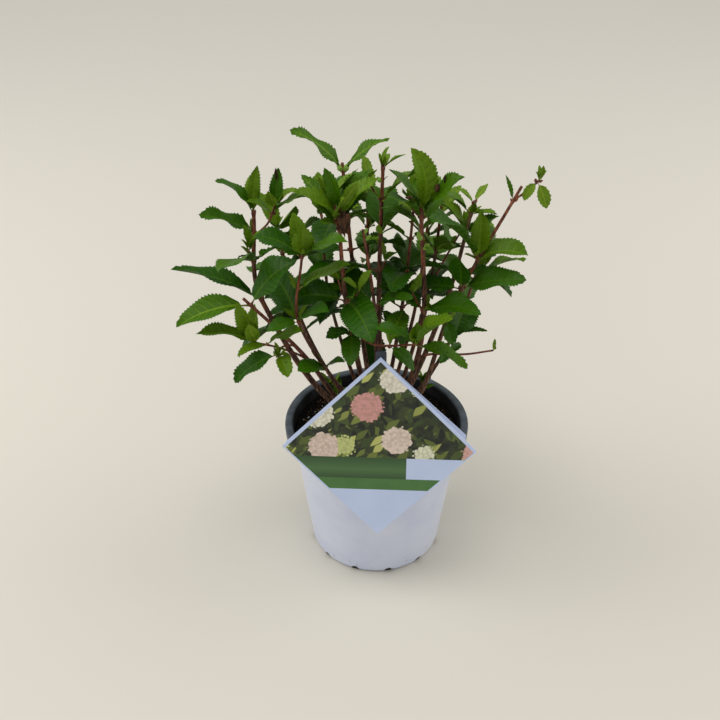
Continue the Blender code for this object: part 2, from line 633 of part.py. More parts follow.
class Space:
    """The solids placed so far: who owns each, its box, its shell and its shell without the stalk."""

    def __init__(self):
        self.items = []

    def add(self, owner, whole, blade):
        low, high = box_of(whole[0])
        trees = [BVHTree.FromPolygons(verts, faces) for verts, faces in (whole, blade)]
        self.items.append((owner, low, high, trees[0], trees[1]))

    def is_clear(self, owner, whole, blade):
        """A piece keeps clear of other masses as a whole, and of its own mass beyond its stalk."""
        low, high = box_of(whole[0])
        whole_tree = BVHTree.FromPolygons(*whole)
        blade_tree = BVHTree.FromPolygons(*blade)
        for other, item_low, item_high, item_whole, item_blade in self.items:
            if any(low[i] > item_high[i] or high[i] < item_low[i] for i in range(3)):
                continue
            if other == owner:
                if blade_tree.overlap(item_blade):
                    return False
            elif whole_tree.overlap(item_whole):
                return False
        return True


# ---------------------------------------------------------------- the growth rule

class Mass:
    """One leafy mass: its leader, twigs and leaves, and the bare stem that carries it."""

    def __init__(self, name, bare, leader):
        self.name = name
        self.bare = bare
        self.leader = leader
        self.twigs = []
        self.leaves = []


def taper(points, foot, tip):
    """A tube that narrows evenly along its points."""
    length = line_length(points)
    radii = []
    run = 0.0
    for k, point in enumerate(points):
        if k:
            run += (point - points[k - 1]).length
        radii.append(foot + (tip - foot) * run / length)
    return Tube(points, radii)


def start_mass(shoot, line, reach):
    """Cuts a stem into its bare lower part and the leader of its mass, 0.3 mm apart."""
    whole = line_length(line)
    foot = shoot.girth * MM
    end = max(foot * 0.5, 0.9 * MM)
    split = reach + 10 * MM
    if split > whole - 25 * MM:
        return Mass(shoot.name, None, taper(stretch(line, whole, 0, 6), foot, end))
    middle = foot + (end - foot) * (whole - split) / whole
    bare = taper(stretch(line, whole, split + GAP, 4 + int((whole - split) / STEM_STEP)), foot, middle)
    leader = taper(stretch(line, split, 0, 4 + int(split / STEM_STEP)), middle, end)
    return Mass(shoot.name, bare, leader)


def place_leaf(mass, space, leaf):
    """Adds a leaf to the mass at the first of the tried headings that is clear."""
    for turn, lift, size in TRIES:
        trial = leaf._replace(azimuth=leaf.azimuth + math.radians(turn), rise=leaf.rise + math.radians(lift),
                              length=leaf.length * size)
        whole = loft(*leaf_rings(trial, CLEARANCE))
        if any(in_the_way(point) for point in whole[0]):
            continue
        blade = loft(*leaf_rings(trial, 0, True))
        if space.is_clear(mass.name, whole, blade):
            mass.leaves.append(trial)
            space.add(mass.name, whole, blade)
            return True
    return False


def outline_leaf(root, row):
    """The leaf that reaches from its node to a given tip."""
    chord = Vector(row.tip) * CM - root
    arch = math.radians(row.arch)
    rise = math.atan2(chord.z, math.hypot(chord.x, chord.y)) + arch / 2 * 0.9
    length = chord.length / (PETIOLE + math.sin(arch / 2) / (arch / 2))
    age = 0.2 if row.young else 0.8
    return Leaf(root, math.atan2(chord.y, chord.x), rise, arch, length, row.width, math.radians(row.roll), age)


def rule_leaf(root, azimuth, order, longest, rng):
    """The leaf that the rule gives to a node: the nearer the tip, the smaller, younger and more upright."""
    size, rise, arch = LEAF_ORDERS[min(order, len(LEAF_ORDERS) - 1)]
    azimuth += rng.uniform(-0.2, 0.2)
    outward = Vector((root.x, root.y, 0)).normalized()
    roll = -FACE_OUT * outward.dot(heading_vector(azimuth + math.pi / 2, 0)) + rng.uniform(-0.25, 0.25)
    return Leaf(root, azimuth, math.radians(rise + rng.uniform(-9, 9)), math.radians(arch + rng.uniform(-12, 12)),
                longest * size * rng.uniform(0.9, 1.08), rng.uniform(0.5, 0.6), roll,
                min(order / 3 + rng.uniform(0, 0.25), 1))


def place_pair(mass, space, root, turn, order, longest, taken, rng):
    """Two opposite leaves at a node, apart from a side that an outline leaf or a side branch has taken."""
    for side in (0, math.pi):
        leaf = rule_leaf(root, turn + side, order, longest, rng)
        if all(abs(math.remainder(leaf.azimuth - azimuth, math.tau)) > 1.2 for azimuth in taken):
            place_leaf(mass, space, leaf)


def place_side_shoot(mass, space, root, azimuth, rng):
    """A short young shoot in a leaf's axil, with a pair of leaves at its tip and one leaf below them."""
    rise = math.radians(rng.uniform(38, 62))
    length = rng.uniform(9, 20) * MM
    leave = heading_vector(azimuth + rng.uniform(-0.4, 0.4), rise)
    tip = root + leave * length + Vector((0, 0, length * 0.15))
    twig = taper([root, root + leave * length * 0.55, tip], 0.95 * MM, 0.75 * MM)
    whole = loft(tube_rings(twig, 3, CLEARANCE))
    outer = loft(tube_rings(Tube(twig.points[1:], twig.radii[1:]), 3))
    if any(in_the_way(point) for point in whole[0]) or not space.is_clear(mass.name, whole, outer):
        return
    before = len(mass.leaves)
    mass.twigs.append(twig)
    space.add(mass.name, whole, outer)
    place_pair(mass, space, tip - leave * 0.4 * MM, azimuth + math.pi / 2, 0, rng.uniform(26, 42) * MM, (), rng)
    place_leaf(mass, space, rule_leaf(twig.points[1], azimuth, 1, rng.uniform(18, 28) * MM, rng))
    if len(mass.leaves) == before:
        mass.twigs.pop()
        space.items.pop()


def grow_shrub():
    """All masses of the shrub, each with its bare stem."""
    rng = random.Random(SEED)
    space = Space()
    masses = {}
    lines = {}
    taken = {}
    for shoot in SHOOTS:
        line = shoot_line(shoot)
        forks = [branch.below for branch in BRANCHES if branch.parent == shoot.name]
        masses[shoot.name] = start_mass(shoot, line, max(list(shoot.nodes) + forks) * CM)
        lines[shoot.name] = line
    for branch in BRANCHES:
        line = branch_line(branch, lines[branch.parent])
        points = stretch(line, line_length(line), 0, 4 + int(line_length(line) / STEM_STEP))
        masses[branch.parent].twigs.append(taper(points, branch.girth * MM, 0.8 * MM))
        lines[branch.name] = line
        nodes = next(shoot.nodes for shoot in SHOOTS if shoot.name == branch.parent)
        if branch.below in nodes:
            away = points[-1] - points[0]
            taken[branch.parent, nodes.index(branch.below)] = [math.atan2(away.y, away.x)]
    for mass in masses.values():
        for tube in [mass.leader] + mass.twigs:
            space.add(mass.name, loft(tube_rings(tube, 6, GAP)), loft(tube_rings(tube, 6)))
        if mass.bare:
            space.add("limb", loft(tube_rings(mass.bare, 6, GAP)), loft(tube_rings(mass.bare, 6)))
    for row in OUTLINE_LEAVES:
        carrier = next(c for c in SHOOTS + BRANCHES if c.name == row.stem)
        mass = masses[getattr(carrier, "parent", carrier.name)]
        root = point_below_tip(lines[row.stem], carrier.nodes[row.node] * CM)[0]
        leaf = outline_leaf(root, row)
        place_leaf(mass, space, leaf)
        taken.setdefault((row.stem, row.node), []).append(leaf.azimuth)
    for order in range(6):
        for carrier in SHOOTS + BRANCHES:
            if order >= len(carrier.nodes):
                continue
            mass = masses[getattr(carrier, "parent", carrier.name)]
            root = point_below_tip(lines[carrier.name], carrier.nodes[order] * CM)[0]
            turn = math.radians(carrier.turn + 90 * order)
            age = order + (2 if carrier.stub else 0)
            used = taken.get((carrier.name, order), ())
            place_pair(mass, space, root, turn, age, carrier.leaf * CM, used, rng)
    for carrier in SHOOTS:
        for order in range(1, len(carrier.nodes)):
            root = point_below_tip(lines[carrier.name], carrier.nodes[order] * CM)[0]
            for side in (0, math.pi):
                if rng.random() < SIDE_SHOOT_SHARE:
                    place_side_shoot(masses[carrier.name], space, root,
                                     math.radians(carrier.turn + 90 * order) + side, rng)
    return list(masses.values())


# ---------------------------------------------------------------- the plant's solids

def make_crown(group):
    """The short stump that all the stems leave: a flared foot, cut flat at the soil, under a domed head."""
    profile = [
        (CROWN_FLARE, 0), (CROWN_FLARE - 2.5 * MM, 1.2 * MM), (CROWN_RADIUS + 0.8 * MM, 2.6 * MM),
    ]
    profile += [
        (CROWN_RADIUS * math.cos(turn), CROWN_SHOULDER + CROWN_DOME * math.sin(turn))
        for turn in (math.radians(90) * k / 6 for k in range(7))
    ]
    profile = [(0, 0)] + profile
    crown = turned("root_crown", list(reversed(profile)), 20, group, "bark")
    crown.location = (CROWN_X, CROWN_Y, CROWN_BASE)
    crown.data.shade_smooth()


def make_stem(mass, group):
    """A bare stem as a tapering curve."""
    curve = bpy.data.curves.new("stem_" + mass.name, "CURVE")
    curve.dimensions = "3D"
    curve.bevel_depth = 1.0
    curve.bevel_resolution = 1
    curve.use_fill_caps = True
    spline = curve.splines.new("POLY")
    spline.points.add(len(mass.bare.points) - 1)
    for place, point, radius in zip(spline.points, mass.bare.points, mass.bare.radii):
        place.co = (*point, 1.0)
        place.radius = radius
    return add_object("stem_" + mass.name, curve, group, "bark")


def fused(name, body, pieces):
    """One mesh from a body and the pieces that grow out of it, and whether its skin is sound."""
    parts = make_collection(name + "_pieces")
    for k, (verts, faces) in enumerate(pieces):
        add_object("%s_piece_%d" % (name, k), mesh_from("piece", verts, faces), parts)
    whole = add_object(name + "_body", mesh_from("body", *body), bpy.context.scene.collection)
    union = whole.modifiers.new("fuse", "BOOLEAN")
    union.operation = "UNION"
    union.operand_type = "COLLECTION"
    union.collection = parts
    for solver in ("EXACT", "MANIFOLD"):
        union.solver = solver
        mesh = baked_mesh(whole)
        sound = tidy(mesh)
        if sound:
            break
    for obj in list(parts.objects) + [whole]:
        bpy.data.objects.remove(obj, do_unlink=True)
    bpy.data.collections.remove(parts)
    mesh.name = name
    mesh.materials.clear()
    return mesh, sound


def turn_diagonal(work, edge):
    """Where two flat pairs of triangles share one edge, gives the flatter pair its other diagonal."""
    pairs = itertools.combinations(edge.link_faces, 2)
    one, two = max(pairs, key=lambda pair: pair[0].normal.dot(pair[1].normal))
    far = next(vert for vert in one.verts if vert not in edge.verts)
    near = next(vert for vert in two.verts if vert not in edge.verts)
    ring = list(one.verts)
    start = ring[(ring.index(far) + 1) % 3]
    end = ring[(ring.index(far) + 2) % 3]
    if far != near and work.edges.get((far, near)) is None:
        work.faces.remove(one)
        work.faces.remove(two)
        work.faces.new((far, start, near))
        work.faces.new((far, near, end))


def tidy(mesh):
    """Keeps the outer skin of the largest body, in triangles: no loose scraps and no sealed hollows.

    Returns whether every edge of the skin joins just two faces.
    """
    work = bmesh.new()
    work.from_mesh(mesh)
    bmesh.ops.remove_doubles(work, verts=work.verts, dist=MERGE)
    bmesh.ops.dissolve_degenerate(work, edges=work.edges, dist=MERGE)
    bmesh.ops.triangulate(work, faces=work.faces)
    flaps = {}
    for face in work.faces:
        flaps.setdefault(frozenset(face.verts), []).append(face)
    doubled = [face for pair in flaps.values() if len(pair) == 2 for face in pair]
    bmesh.ops.delete(work, geom=doubled, context="FACES")
    for edge in [edge for edge in work.edges if len(edge.link_faces) == 4]:
        turn_diagonal(work, edge)
    seen = set()
    islands = []
    for start in work.faces:
        if start in seen:
            continue
        island = [start]
        seen.add(start)
        for face in island:
            for edge in face.edges:
                for other in edge.link_faces:
                    if other not in seen:
                        seen.add(other)
                        island.append(other)
        islands.append(island)
    islands.sort(key=len, reverse=True)
    scraps = [face for island in islands[1:] for face in island]
    bmesh.ops.delete(work, geom=scraps, context="FACES")
    sound = all(len(edge.link_faces) == 2 for edge in work.edges)
    work.to_mesh(mesh)
    work.free()
    return sound


def make_mass(mass, group):
    """The mass as one solid: its leader, with twigs and leaves whose roots are sunk in it.

    The leader's facets are turned until the union's skin is sound.
    """
    pieces = [loft(tube_rings(twig, 4 if len(twig.points) > 3 else 3)) for twig in mass.twigs]
    pieces += [loft(*leaf_rings(leaf)) for leaf in mass.leaves]
    for sides, spin in LEADER_TRIES:
        mesh, sound = fused("leaves_" + mass.name, loft(tube_rings(mass.leader, sides, spin=spin)), pieces)
        if sound:
            break
    add_object("leaves_" + mass.name, mesh, group, "leaf")


def main():
    clear_scene()
    plant = make_collection("hydrangea_shrub")
    cutters = make_collection("cutters")
    make_pot(plant, cutters)
    make_soil(plant, cutters)
    add_object("label_stake", stake_mesh("label_stake", 0), plant, "stake")
    make_card_front(plant)
    make_card_back(plant)
    make_crown(plant)
    for mass in grow_shrub():
        if mass.bare:
            make_stem(mass, plant)
        make_mass(mass, plant)


main()
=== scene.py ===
"""Potted panicle hydrangea: its bark, leaves, buds, pot, potting mix and printed card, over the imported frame.

Metres, +Z up, origin at the centre of the pot's flat underside. The shrub grows by the same seeded rule as
its solids: the same stems, branches and leaves in the same places, carried on to toothed and veined blades,
stalks, buds and the folded leaves of the shoot tips.
"""

import json
import math
import random
from collections import namedtuple

import bmesh
import bpy
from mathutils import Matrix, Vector, noise
from mathutils.bvhtree import BVHTree

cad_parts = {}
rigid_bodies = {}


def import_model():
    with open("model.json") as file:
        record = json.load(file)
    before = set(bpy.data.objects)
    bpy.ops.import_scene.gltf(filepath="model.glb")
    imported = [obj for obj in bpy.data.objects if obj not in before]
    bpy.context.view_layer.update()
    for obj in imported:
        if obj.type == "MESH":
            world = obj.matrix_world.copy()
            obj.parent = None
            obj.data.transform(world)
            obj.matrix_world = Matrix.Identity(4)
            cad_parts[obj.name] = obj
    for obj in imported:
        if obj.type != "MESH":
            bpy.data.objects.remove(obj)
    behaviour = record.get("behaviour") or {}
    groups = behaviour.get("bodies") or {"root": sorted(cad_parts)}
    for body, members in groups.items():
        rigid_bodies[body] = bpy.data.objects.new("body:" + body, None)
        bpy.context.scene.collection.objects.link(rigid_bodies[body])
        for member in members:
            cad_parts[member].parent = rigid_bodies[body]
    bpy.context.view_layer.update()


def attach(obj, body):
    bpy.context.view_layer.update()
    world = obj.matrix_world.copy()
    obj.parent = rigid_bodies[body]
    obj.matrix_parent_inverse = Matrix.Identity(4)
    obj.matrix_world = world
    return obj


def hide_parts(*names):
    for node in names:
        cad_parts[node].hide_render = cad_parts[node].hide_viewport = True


CM = 0.01
MM = 0.001
GAP = 0.3 * MM                      # left between pieces that touch
SEED = 17

# Pot
POT_HEIGHT = 137 * MM
RIM_RADIUS = 85 * MM
LIP_DEPTH = 9 * MM
LIP_WIDTH = 7 * MM
LIP_THICK = 3 * MM                  # the rolled lip's top, over a hollow skirt
LIP_TAPER = 0.6 * MM
WALL = 1.4 * MM
WALL_TOP_RADIUS = 77.5 * MM         # outside, just under the lip
WALL_FOOT_RADIUS = 62 * MM          # outside, above the rounded foot
FOOT_ROUND = 4 * MM
FLOOR = 6 * MM
NOTCHES = 12
NOTCH_TURN = math.radians(11)
FLOOR_EDGE = 6 * MM                 # the inside corner's bevel

# Soil and root crown
SOIL_LEVEL = 119 * MM
SOIL_LUMP = 2.2 * MM
CROWN_X = 2 * MM
CROWN_Y = 2 * MM
CROWN_BASE = SOIL_LEVEL + GAP
CROWN_SHOULDER = 4.5 * MM           # the domed head starts this far above the flat cut
CROWN_RADIUS = 20 * MM
CROWN_DOME = 15 * MM
CROWN_FLARE = 25 * MM

# Card and stake
CARD_SIDE = 117.6 * MM
CARD_THICK = 0.7 * MM
CARD_TILT = math.radians(13.2)      # the card leans back
CARD_YAW = math.radians(-2.7)
CARD_CENTRE = Vector((0.08, -7.947, 16.66)) * CM
CARD_CURL = 128 * MM                # radius of the back card's curled right half
STAKE_WIDTH = 9 * MM
STAKE_THICK = 1.6 * MM
STAKE_TOP = Vector((0.2, -5.775, 25.2)) * CM
STAKE_FOOT = Vector((0.2, -6.8, 8.5)) * CM

# Leaves
PETIOLE = 0.13                      # of the blade's length
LEAF_FOLD = math.radians(16)        # each half of the blade rises from the midrib
LEAF_THICK = 0.02                   # of the blade's length
LARGE_LEAF = 50 * MM                # veins and teeth are sized for this length; a longer solid is finer
CLEARANCE = 0.6 * MM                # every leaf is tested this much larger all over

# A main stem: where it leaves the root crown, the point its bend passes, its tip (cm), its radius at the
# foot (mm), its leaf nodes as distances below the tip (cm), the heading of the top pair, the longest leaf
# (cm), and the stub above the top pair where it has been pruned (cm).
Shoot = namedtuple("Shoot", "name azimuth rise knee tip girth nodes turn leaf stub")
SHOOTS = (
    Shoot("left_tall", 178, 36, (-10.0, 0.3, 26.4), (-10.4, 1.8, 34.2),
          3.2, (0.3, 1.9, 4.4, 7.9, 11.0), 60, 5.4, 0),
    Shoot("left_low", 200, 46, (-6.6, -2.1, 22.6), (-11.2, -2.6, 28.3), 2.6, (0.9,), 190, 5.6, 0.9),
    Shoot("left_centre", 218, 62, (-6.6, -3.0, 26.0), (-6.2, -3.0, 32.6),
          2.1, (0.3, 3.2, 6.4, 12.0), 280, 5.6, 0),
    Shoot("top_centre", 128, 76, (-1.9, 2.5, 26.0), (-3.0, 3.0, 37.9),
          2.6, (0.8, 4.4, 8.0, 11.4, 14.0), 175, 6.0, 0.8),
    Shoot("front_rosette", 197, 77, (-2.6, -1.6, 26.5), (-3.3, -2.0, 36.2),
          2.9, (0.2, 0.9, 1.9, 8.8, 12.2), 30, 5.4, 0),
    Shoot("mid_front", 262, 75, (-0.3, -1.4, 26.5), (-1.3, -1.7, 34.2), 2.2, (7.4,), 165, 5.6, 0.8),
    Shoot("mid_back", 13, 88, (0.1, 1.2, 26.5), (0.3, 1.0, 38.5),
          2.9, (0.2, 3.0, 6.2, 9.8, 13.2), 114, 5.8, 0),
    Shoot("right_front", 338, 65, (3.8, -0.8, 23.0), (3.3, -2.0, 36.2),
          3.0, (0.2, 0.9, 1.8, 10.2), 80, 5.6, 0),
    Shoot("right_mid", 55, 73, (2.4, 2.7, 26.0), (3.0, 3.2, 33.8), 2.2, (0.3, 3.0, 6.4, 9.6), 70, 5.8, 0),
    Shoot("right_back", 43, 56, (4.8, 4.6, 26.0), (5.6, 5.0, 35.0), 2.2, (3.0, 6.4, 9.8), 35, 4.4, 0),
    Shoot("right_brown", 12, 60, (5.8, 1.3, 25.0), (7.9, 1.5, 35.2), 2.8, (0.2, 1.2, 3.2, 6.8), 50, 5.2, 0),
    Shoot("far_right", 350, 46, (6.6, -0.6, 27.0), (11.4, 0.0, 37.2),
          2.4, (1.4, 7.2, 10.2, 13.4), 350, 5.4, 1.2),
    Shoot("back_left", 138, 59, (-4.2, 3.8, 24.0), (-4.9, 5.0, 32.4), 2.0, (0.3, 2.6, 6.0, 9.0), 110, 5.4, 0),
    Shoot("back_mid", 99, 56, (-0.7, 5.4, 23.0), (-0.9, 7.6, 32.2),
          2.2, (0.3, 2.4, 5.6, 8.8, 11.8), 80, 5.6, 0),
    Shoot("back_right", 66, 44, (3.6, 6.6, 21.5), (4.8, 9.2, 30.5), 2.2, (0.3, 2.4, 5.4, 8.6), 60, 5.6, 0),
    Shoot("back_far_left", 154, 41, (-6.6, 4.4, 20.8), (-9.0, 6.6, 30.0),
          2.2, (0.3, 2.4, 5.4, 8.6), 140, 5.6, 0),
    Shoot("right_low", 27, 37, (6.8, 3.9, 19.8), (9.4, 5.4, 28.0), 2.1, (0.3, 2.4, 5.2, 7.8), 75, 5.2, 0),
    Shoot("sucker_left", 130, 16, (-3.4, 3.6, 13.3), (-4.6, 5.0, 13.9), 1.3, (0.2, 1.4), 40, 2.6, 0),
    Shoot("sucker_right", 50, 16, (3.6, 4.0, 13.3), (4.6, 5.4, 14.0), 1.3, (0.2, 1.4), 130, 2.6, 0),
)

# A side branch: the main stem it leaves, how far below that stem's tip (cm), and the rest as for a stem.
Branch = namedtuple("Branch", "name parent below knee tip girth nodes turn leaf stub")
BRANCHES = (
    Branch("twin", "left_tall", 2.4, (-9.2, 1.2, 33.3), (-8.5, 1.1, 35.0), 1.1, (0.2, 0.9), 80, 3.4, 0),
    Branch("low_reach", "left_low", 8.4, (-8.2, -3.0, 23.6), (-10.6, -3.2, 24.4),
          1.1, (0.3, 1.2), 100, 4.6, 0),
    Branch("low_hang", "left_low", 6.4, (-8.3, -2.9, 23.6), (-8.5, -3.6, 23.1), 1.0, (0.3,), 235, 4.4, 0),
    Branch("front_cross", "front_rosette", 12.0, (-0.4, -3.3, 24.2), (3.2, -5.0, 25.3),
          1.2, (0.2, 2.6), 330, 4.6, 0),
    Branch("bare_twig", "right_front", 15.2, (7.8, -1.2, 21.8), (10.1, -1.2, 22.2),
          1.2, (3.9,), 60, 1.8, 0.9),
    Branch("red_twig", "far_right", 1.4, (11.9, 0.0, 36.8), (12.7, -0.2, 37.8), 1.0, (0.2,), 0, 3.0, 0),
    Branch("back_fork", "right_back", 10.4, (6.0, 4.2, 28.4), (7.5, 4.2, 31.6), 1.1, (0.2, 2.6), 10, 3.2, 0),
)

# A long leaf that draws the crown's outline: its stem, its node counted from the tip, the leaf's tip (cm),
# how far it arches over (degrees), its width over its length, the tilt of its blade (degrees), and whether
# it's young.
Outline = namedtuple("Outline", "stem node tip arch width roll young")
OUTLINE_LEAVES = (
    Outline("top_centre", 0, (-7.2, 2.4, 41.0), 34, 0.36, -14, False),
    Outline("top_centre", 0, (0.9, 2.6, 40.2), 34, 0.37, 14, False),
    Outline("left_tall", 3, (-17.4, -0.6, 29.9), 22, 0.34, -6, False),
    Outline("left_low", 0, (-6.6, -2.6, 31.9), 34, 0.60, 25, False),
    Outline("left_tall", 3, (-7.4, -0.8, 27.2), 30, 0.50, 12, False),
    Outline("left_tall", 1, (-14.8, 0.6, 34.4), 24, 0.46, -8, False),
    Outline("left_tall", 0, (-13.3, 0.8, 37.3), 44, 0.44, -14, False),
    Outline("left_tall", 0, (-9.8, 1.4, 38.4), 12, 0.30, -60, True),
    Outline("twin", 0, (-8.1, 1.4, 38.2), 12, 0.42, 50, False),
    Outline("twin", 0, (-6.6, 1.6, 36.2), 40, 0.50, 10, True),
    Outline("left_low", 0, (-16.8, -4.0, 26.3), 42, 0.43, -22, True),
    Outline("low_reach", 0, (-11.7, -3.8, 28.6), 20, 0.50, 55, True),
    Outline("low_reach", 0, (-15.2, -4.2, 25.8), 30, 0.40, -10, True),
    Outline("low_reach", 1, (-12.7, -4.0, 24.2), 30, 0.42, -10, True),
    Outline("low_hang", 0, (-12.2, -4.6, 21.1), 36, 0.50, -14, False),
    Outline("low_hang", 0, (-7.6, -5.2, 22.1), 24, 0.74, 0, True),
    Outline("low_hang", 0, (-7.4, -3.2, 22.6), 30, 0.60, 12, True),
    Outline("left_centre", 0, (-6.0, -4.2, 35.8), 20, 0.60, 0, True),
    Outline("left_centre", 0, (-10.0, -3.2, 34.4), 44, 0.56, -20, False),
    Outline("left_centre", 0, (-2.4, -5.0, 34.8), 36, 0.45, 8, False),
    Outline("left_centre", 2, (-9.2, -4.8, 26.4), 40, 0.50, -20, False),
    Outline("left_centre", 2, (-4.0, -5.4, 28.7), 44, 0.56, 15, False),
    Outline("front_rosette", 0, (-4.3, -2.2, 39.8), 10, 0.40, 65, False),
    Outline("front_rosette", 0, (-2.4, -2.4, 39.6), 10, 0.38, -60, True),
    Outline("front_rosette", 1, (-6.8, -3.2, 38.2), 30, 0.52, -18, True),
    Outline("front_rosette", 1, (-0.1, -3.4, 39.1), 30, 0.48, 20, True),
    Outline("front_rosette", 2, (-6.2, -0.6, 38.5), 22, 0.36, -10, False),
    Outline("front_rosette", 2, (-0.6, -0.6, 39.0), 20, 0.50, 10, False),
    Outline("left_centre", 3, (-6.8, -5.0, 22.6), 40, 0.58, -14, False),
    Outline("left_centre", 3, (-2.8, -3.6, 22.6), 30, 0.50, 8, False),
    Outline("front_rosette", 4, (-4.4, -3.6, 25.0), 36, 0.50, -14, False),
    Outline("front_rosette", 4, (-1.6, -4.6, 22.6), 50, 0.56, 15, False),
    Outline("right_front", 0, (0.6, -3.0, 40.0), 26, 0.48, -18, False),
    Outline("right_front", 0, (2.3, -1.6, 41.2), 50, 0.44, -50, True),
    Outline("right_front", 1, (5.5, -3.2, 41.1), 24, 0.46, 30, False),
    Outline("right_front", 1, (0.5, -4.2, 38.2), 36, 0.52, -10, False),
    Outline("right_front", 2, (0.0, -3.4, 36.9), 30, 0.34, -14, False),
    Outline("right_front", 3, (9.1, -2.6, 26.8), 52, 0.54, 12, False),
    Outline("mid_back", 0, (0.8, 2.2, 39.5), 12, 0.50, 0, True),
    Outline("mid_back", 0, (2.1, 0.5, 39.7), 20, 0.34, 0, True),
    Outline("mid_back", 1, (-1.5, 0.0, 37.0), 24, 0.50, 0, True),
    Outline("mid_back", 1, (-1.2, 2.6, 36.4), 24, 0.50, 10, False),
    Outline("mid_back", 2, (2.4, -0.8, 35.8), 24, 0.48, 14, False),
    Outline("mid_front", 0, (2.9, -3.0, 28.6), 34, 0.50, 12, False),
    Outline("far_right", 1, (8.1, -1.5, 35.9), 12, 0.42, 0, True),
    Outline("far_right", 1, (3.7, -4.2, 36.5), 30, 0.36, -16, False),
    Outline("far_right", 1, (12.4, -1.0, 31.4), 66, 0.62, 14, True),
    Outline("far_right", 2, (12.2, -2.2, 29.8), 34, 0.52, 14, False),
    Outline("far_right", 2, (6.3, -2.4, 32.0), 40, 0.52, -6, False),
    Outline("far_right", 0, (10.6, 0.0, 38.5), 8, 0.20, -60, False),
    Outline("red_twig", 0, (13.5, -0.4, 35.4), 24, 0.54, 65, True),
    Outline("red_twig", 0, (11.6, -0.6, 36.2), 40, 0.56, -60, True),
    Outline("right_brown", 0, (6.3, 2.0, 36.2), 10, 0.47, 0, True),
    Outline("right_brown", 0, (9.2, 3.8, 35.7), 14, 0.32, 0, True),
    Outline("right_brown", 1, (9.8, 1.0, 34.2), 20, 0.52, 0, True),
    Outline("right_brown", 2, (5.0, 0.4, 35.5), 30, 0.52, -24, True),
    Outline("right_brown", 2, (10.0, 0.9, 34.1), 30, 0.50, 20, False),
    Outline("right_low", 3, (10.1, 3.0, 21.5), 30, 0.26, 20, False),
    Outline("far_right", 3, (6.4, -2.2, 23.3), 34, 0.62, 0, False),
    Outline("front_cross", 0, (3.1, -5.4, 27.8), 10, 0.62, 0, True),
    Outline("front_cross", 0, (5.8, -7.2, 29.2), 22, 0.58, 16, True),
    Outline("front_cross", 0, (-0.1, -5.0, 30.3), 36, 0.42, -12, False),
    Outline("front_cross", 0, (7.3, -6.4, 23.8), 30, 0.47, 0, True),
    Outline("front_cross", 1, (2.5, -5.6, 22.6), 30, 0.60, 6, False),
)

# Size against the longest leaf, rise of the stalk and arch of the blade (degrees), from the top pair down.
LEAF_ORDERS = ((0.62, 60, 18), (0.84, 42, 34), (1.0, 26, 46), (1.0, 16, 52), (0.92, 8, 50))

# What is tried in turn where a leaf doesn't fit: turned aside and lifted (degrees), and made smaller.
TRIES = ((0, 0, 1), (13, 6, 1), (-13, 6, 1), (0, 16, 0.95), (26, 0, 0.9), (-26, 0, 0.9), (0, -16, 0.9),
         (38, 14, 0.8), (-38, 14, 0.8), (0, 30, 0.75), (20, -24, 0.75), (-20, -24, 0.75))

FACE_OUT = 0.5                      # how far a blade leans to face away from the plant's middle (radians)
SIDE_SHOOT_SHARE = 0.2              # of the leaf axils
STEM_STEP = 28 * MM                 # a longer stem gets one more cross-section each
BRANCH_END = 0.8 * MM               # a side branch's radius at its tip


def wall_radius(height):
    """Outside radius of the pot's tapered wall at a height."""
    share = (height - FOOT_ROUND) / (POT_HEIGHT - LIP_DEPTH - FOOT_ROUND)
    return WALL_FOOT_RADIUS + (WALL_TOP_RADIUS - WALL_FOOT_RADIUS) * share


SOIL_EDGE = wall_radius(SOIL_LEVEL) - WALL - GAP


def soil_height(x, y):
    """Lumpy top of the potting soil, flat under the root crown and just inside the wall."""
    r = math.hypot(x, y)
    calm = min(max((r - CROWN_FLARE - 3 * MM) / (14 * MM), 0), 1) if r < SOIL_EDGE - MM else 0
    wave = math.sin(x / MM * 0.31 + 1.0) * math.cos(y / MM * 0.27) + 0.6 * math.sin((x - y) / MM * 0.17 + 2.0)
    return SOIL_LEVEL + SOIL_LUMP * calm * (wave - 0.8) * 0.6


def card_axes():
    """The card's rightward, upward and outward directions."""
    level = Vector((math.sin(CARD_YAW), -math.cos(CARD_YAW), 0))
    right = Vector((math.cos(CARD_YAW), math.sin(CARD_YAW), 0))
    up = Vector((0, 0, 1)) * math.cos(CARD_TILT) - level * math.sin(CARD_TILT)
    return right, up, right.cross(up)


# ---------------------------------------------------------------- stems as lines

def crown_point(direction):
    """The point on the root crown's dome whose outward normal is this direction."""
    wide = CROWN_RADIUS ** 2
    high = CROWN_DOME ** 2
    scale = math.sqrt(wide * (direction.x ** 2 + direction.y ** 2) + high * direction.z ** 2)
    on_dome = Vector((wide * direction.x, wide * direction.y, high * direction.z)) / scale
    return Vector((CROWN_X, CROWN_Y, CROWN_BASE + CROWN_SHOULDER)) + on_dome


def heading_vector(azimuth, rise):
    """The direction with this heading and rise above the level."""
    return Vector((math.cos(azimuth) * math.cos(rise), math.sin(azimuth) * math.cos(rise), math.sin(rise)))


def curve_through(start, leave, knee, tip, count):
    """Points of a smooth curve that leaves start along a direction, passes the knee and ends at the tip."""
    first = (knee - start).length
    second = (tip - knee).length
    along = (tip - start).normalized()
    spans = (
        (start, knee, leave * first, along * first),
        (knee, tip, along * second, (tip - knee).normalized() * second),
    )
    points = []
    for begin, end, pull, push in spans:
        for k in range(count):
            t = k / count
            a = 2 * t ** 3 - 3 * t ** 2 + 1
            b = t ** 3 - 2 * t ** 2 + t
            points.append(begin * a + pull * b + end * (1 - a) + push * (t ** 3 - t ** 2))
    return points + [tip.copy()]


def line_length(points):
    """The length of a line of straight steps."""
    return sum((b - a).length for a, b in zip(points, points[1:]))


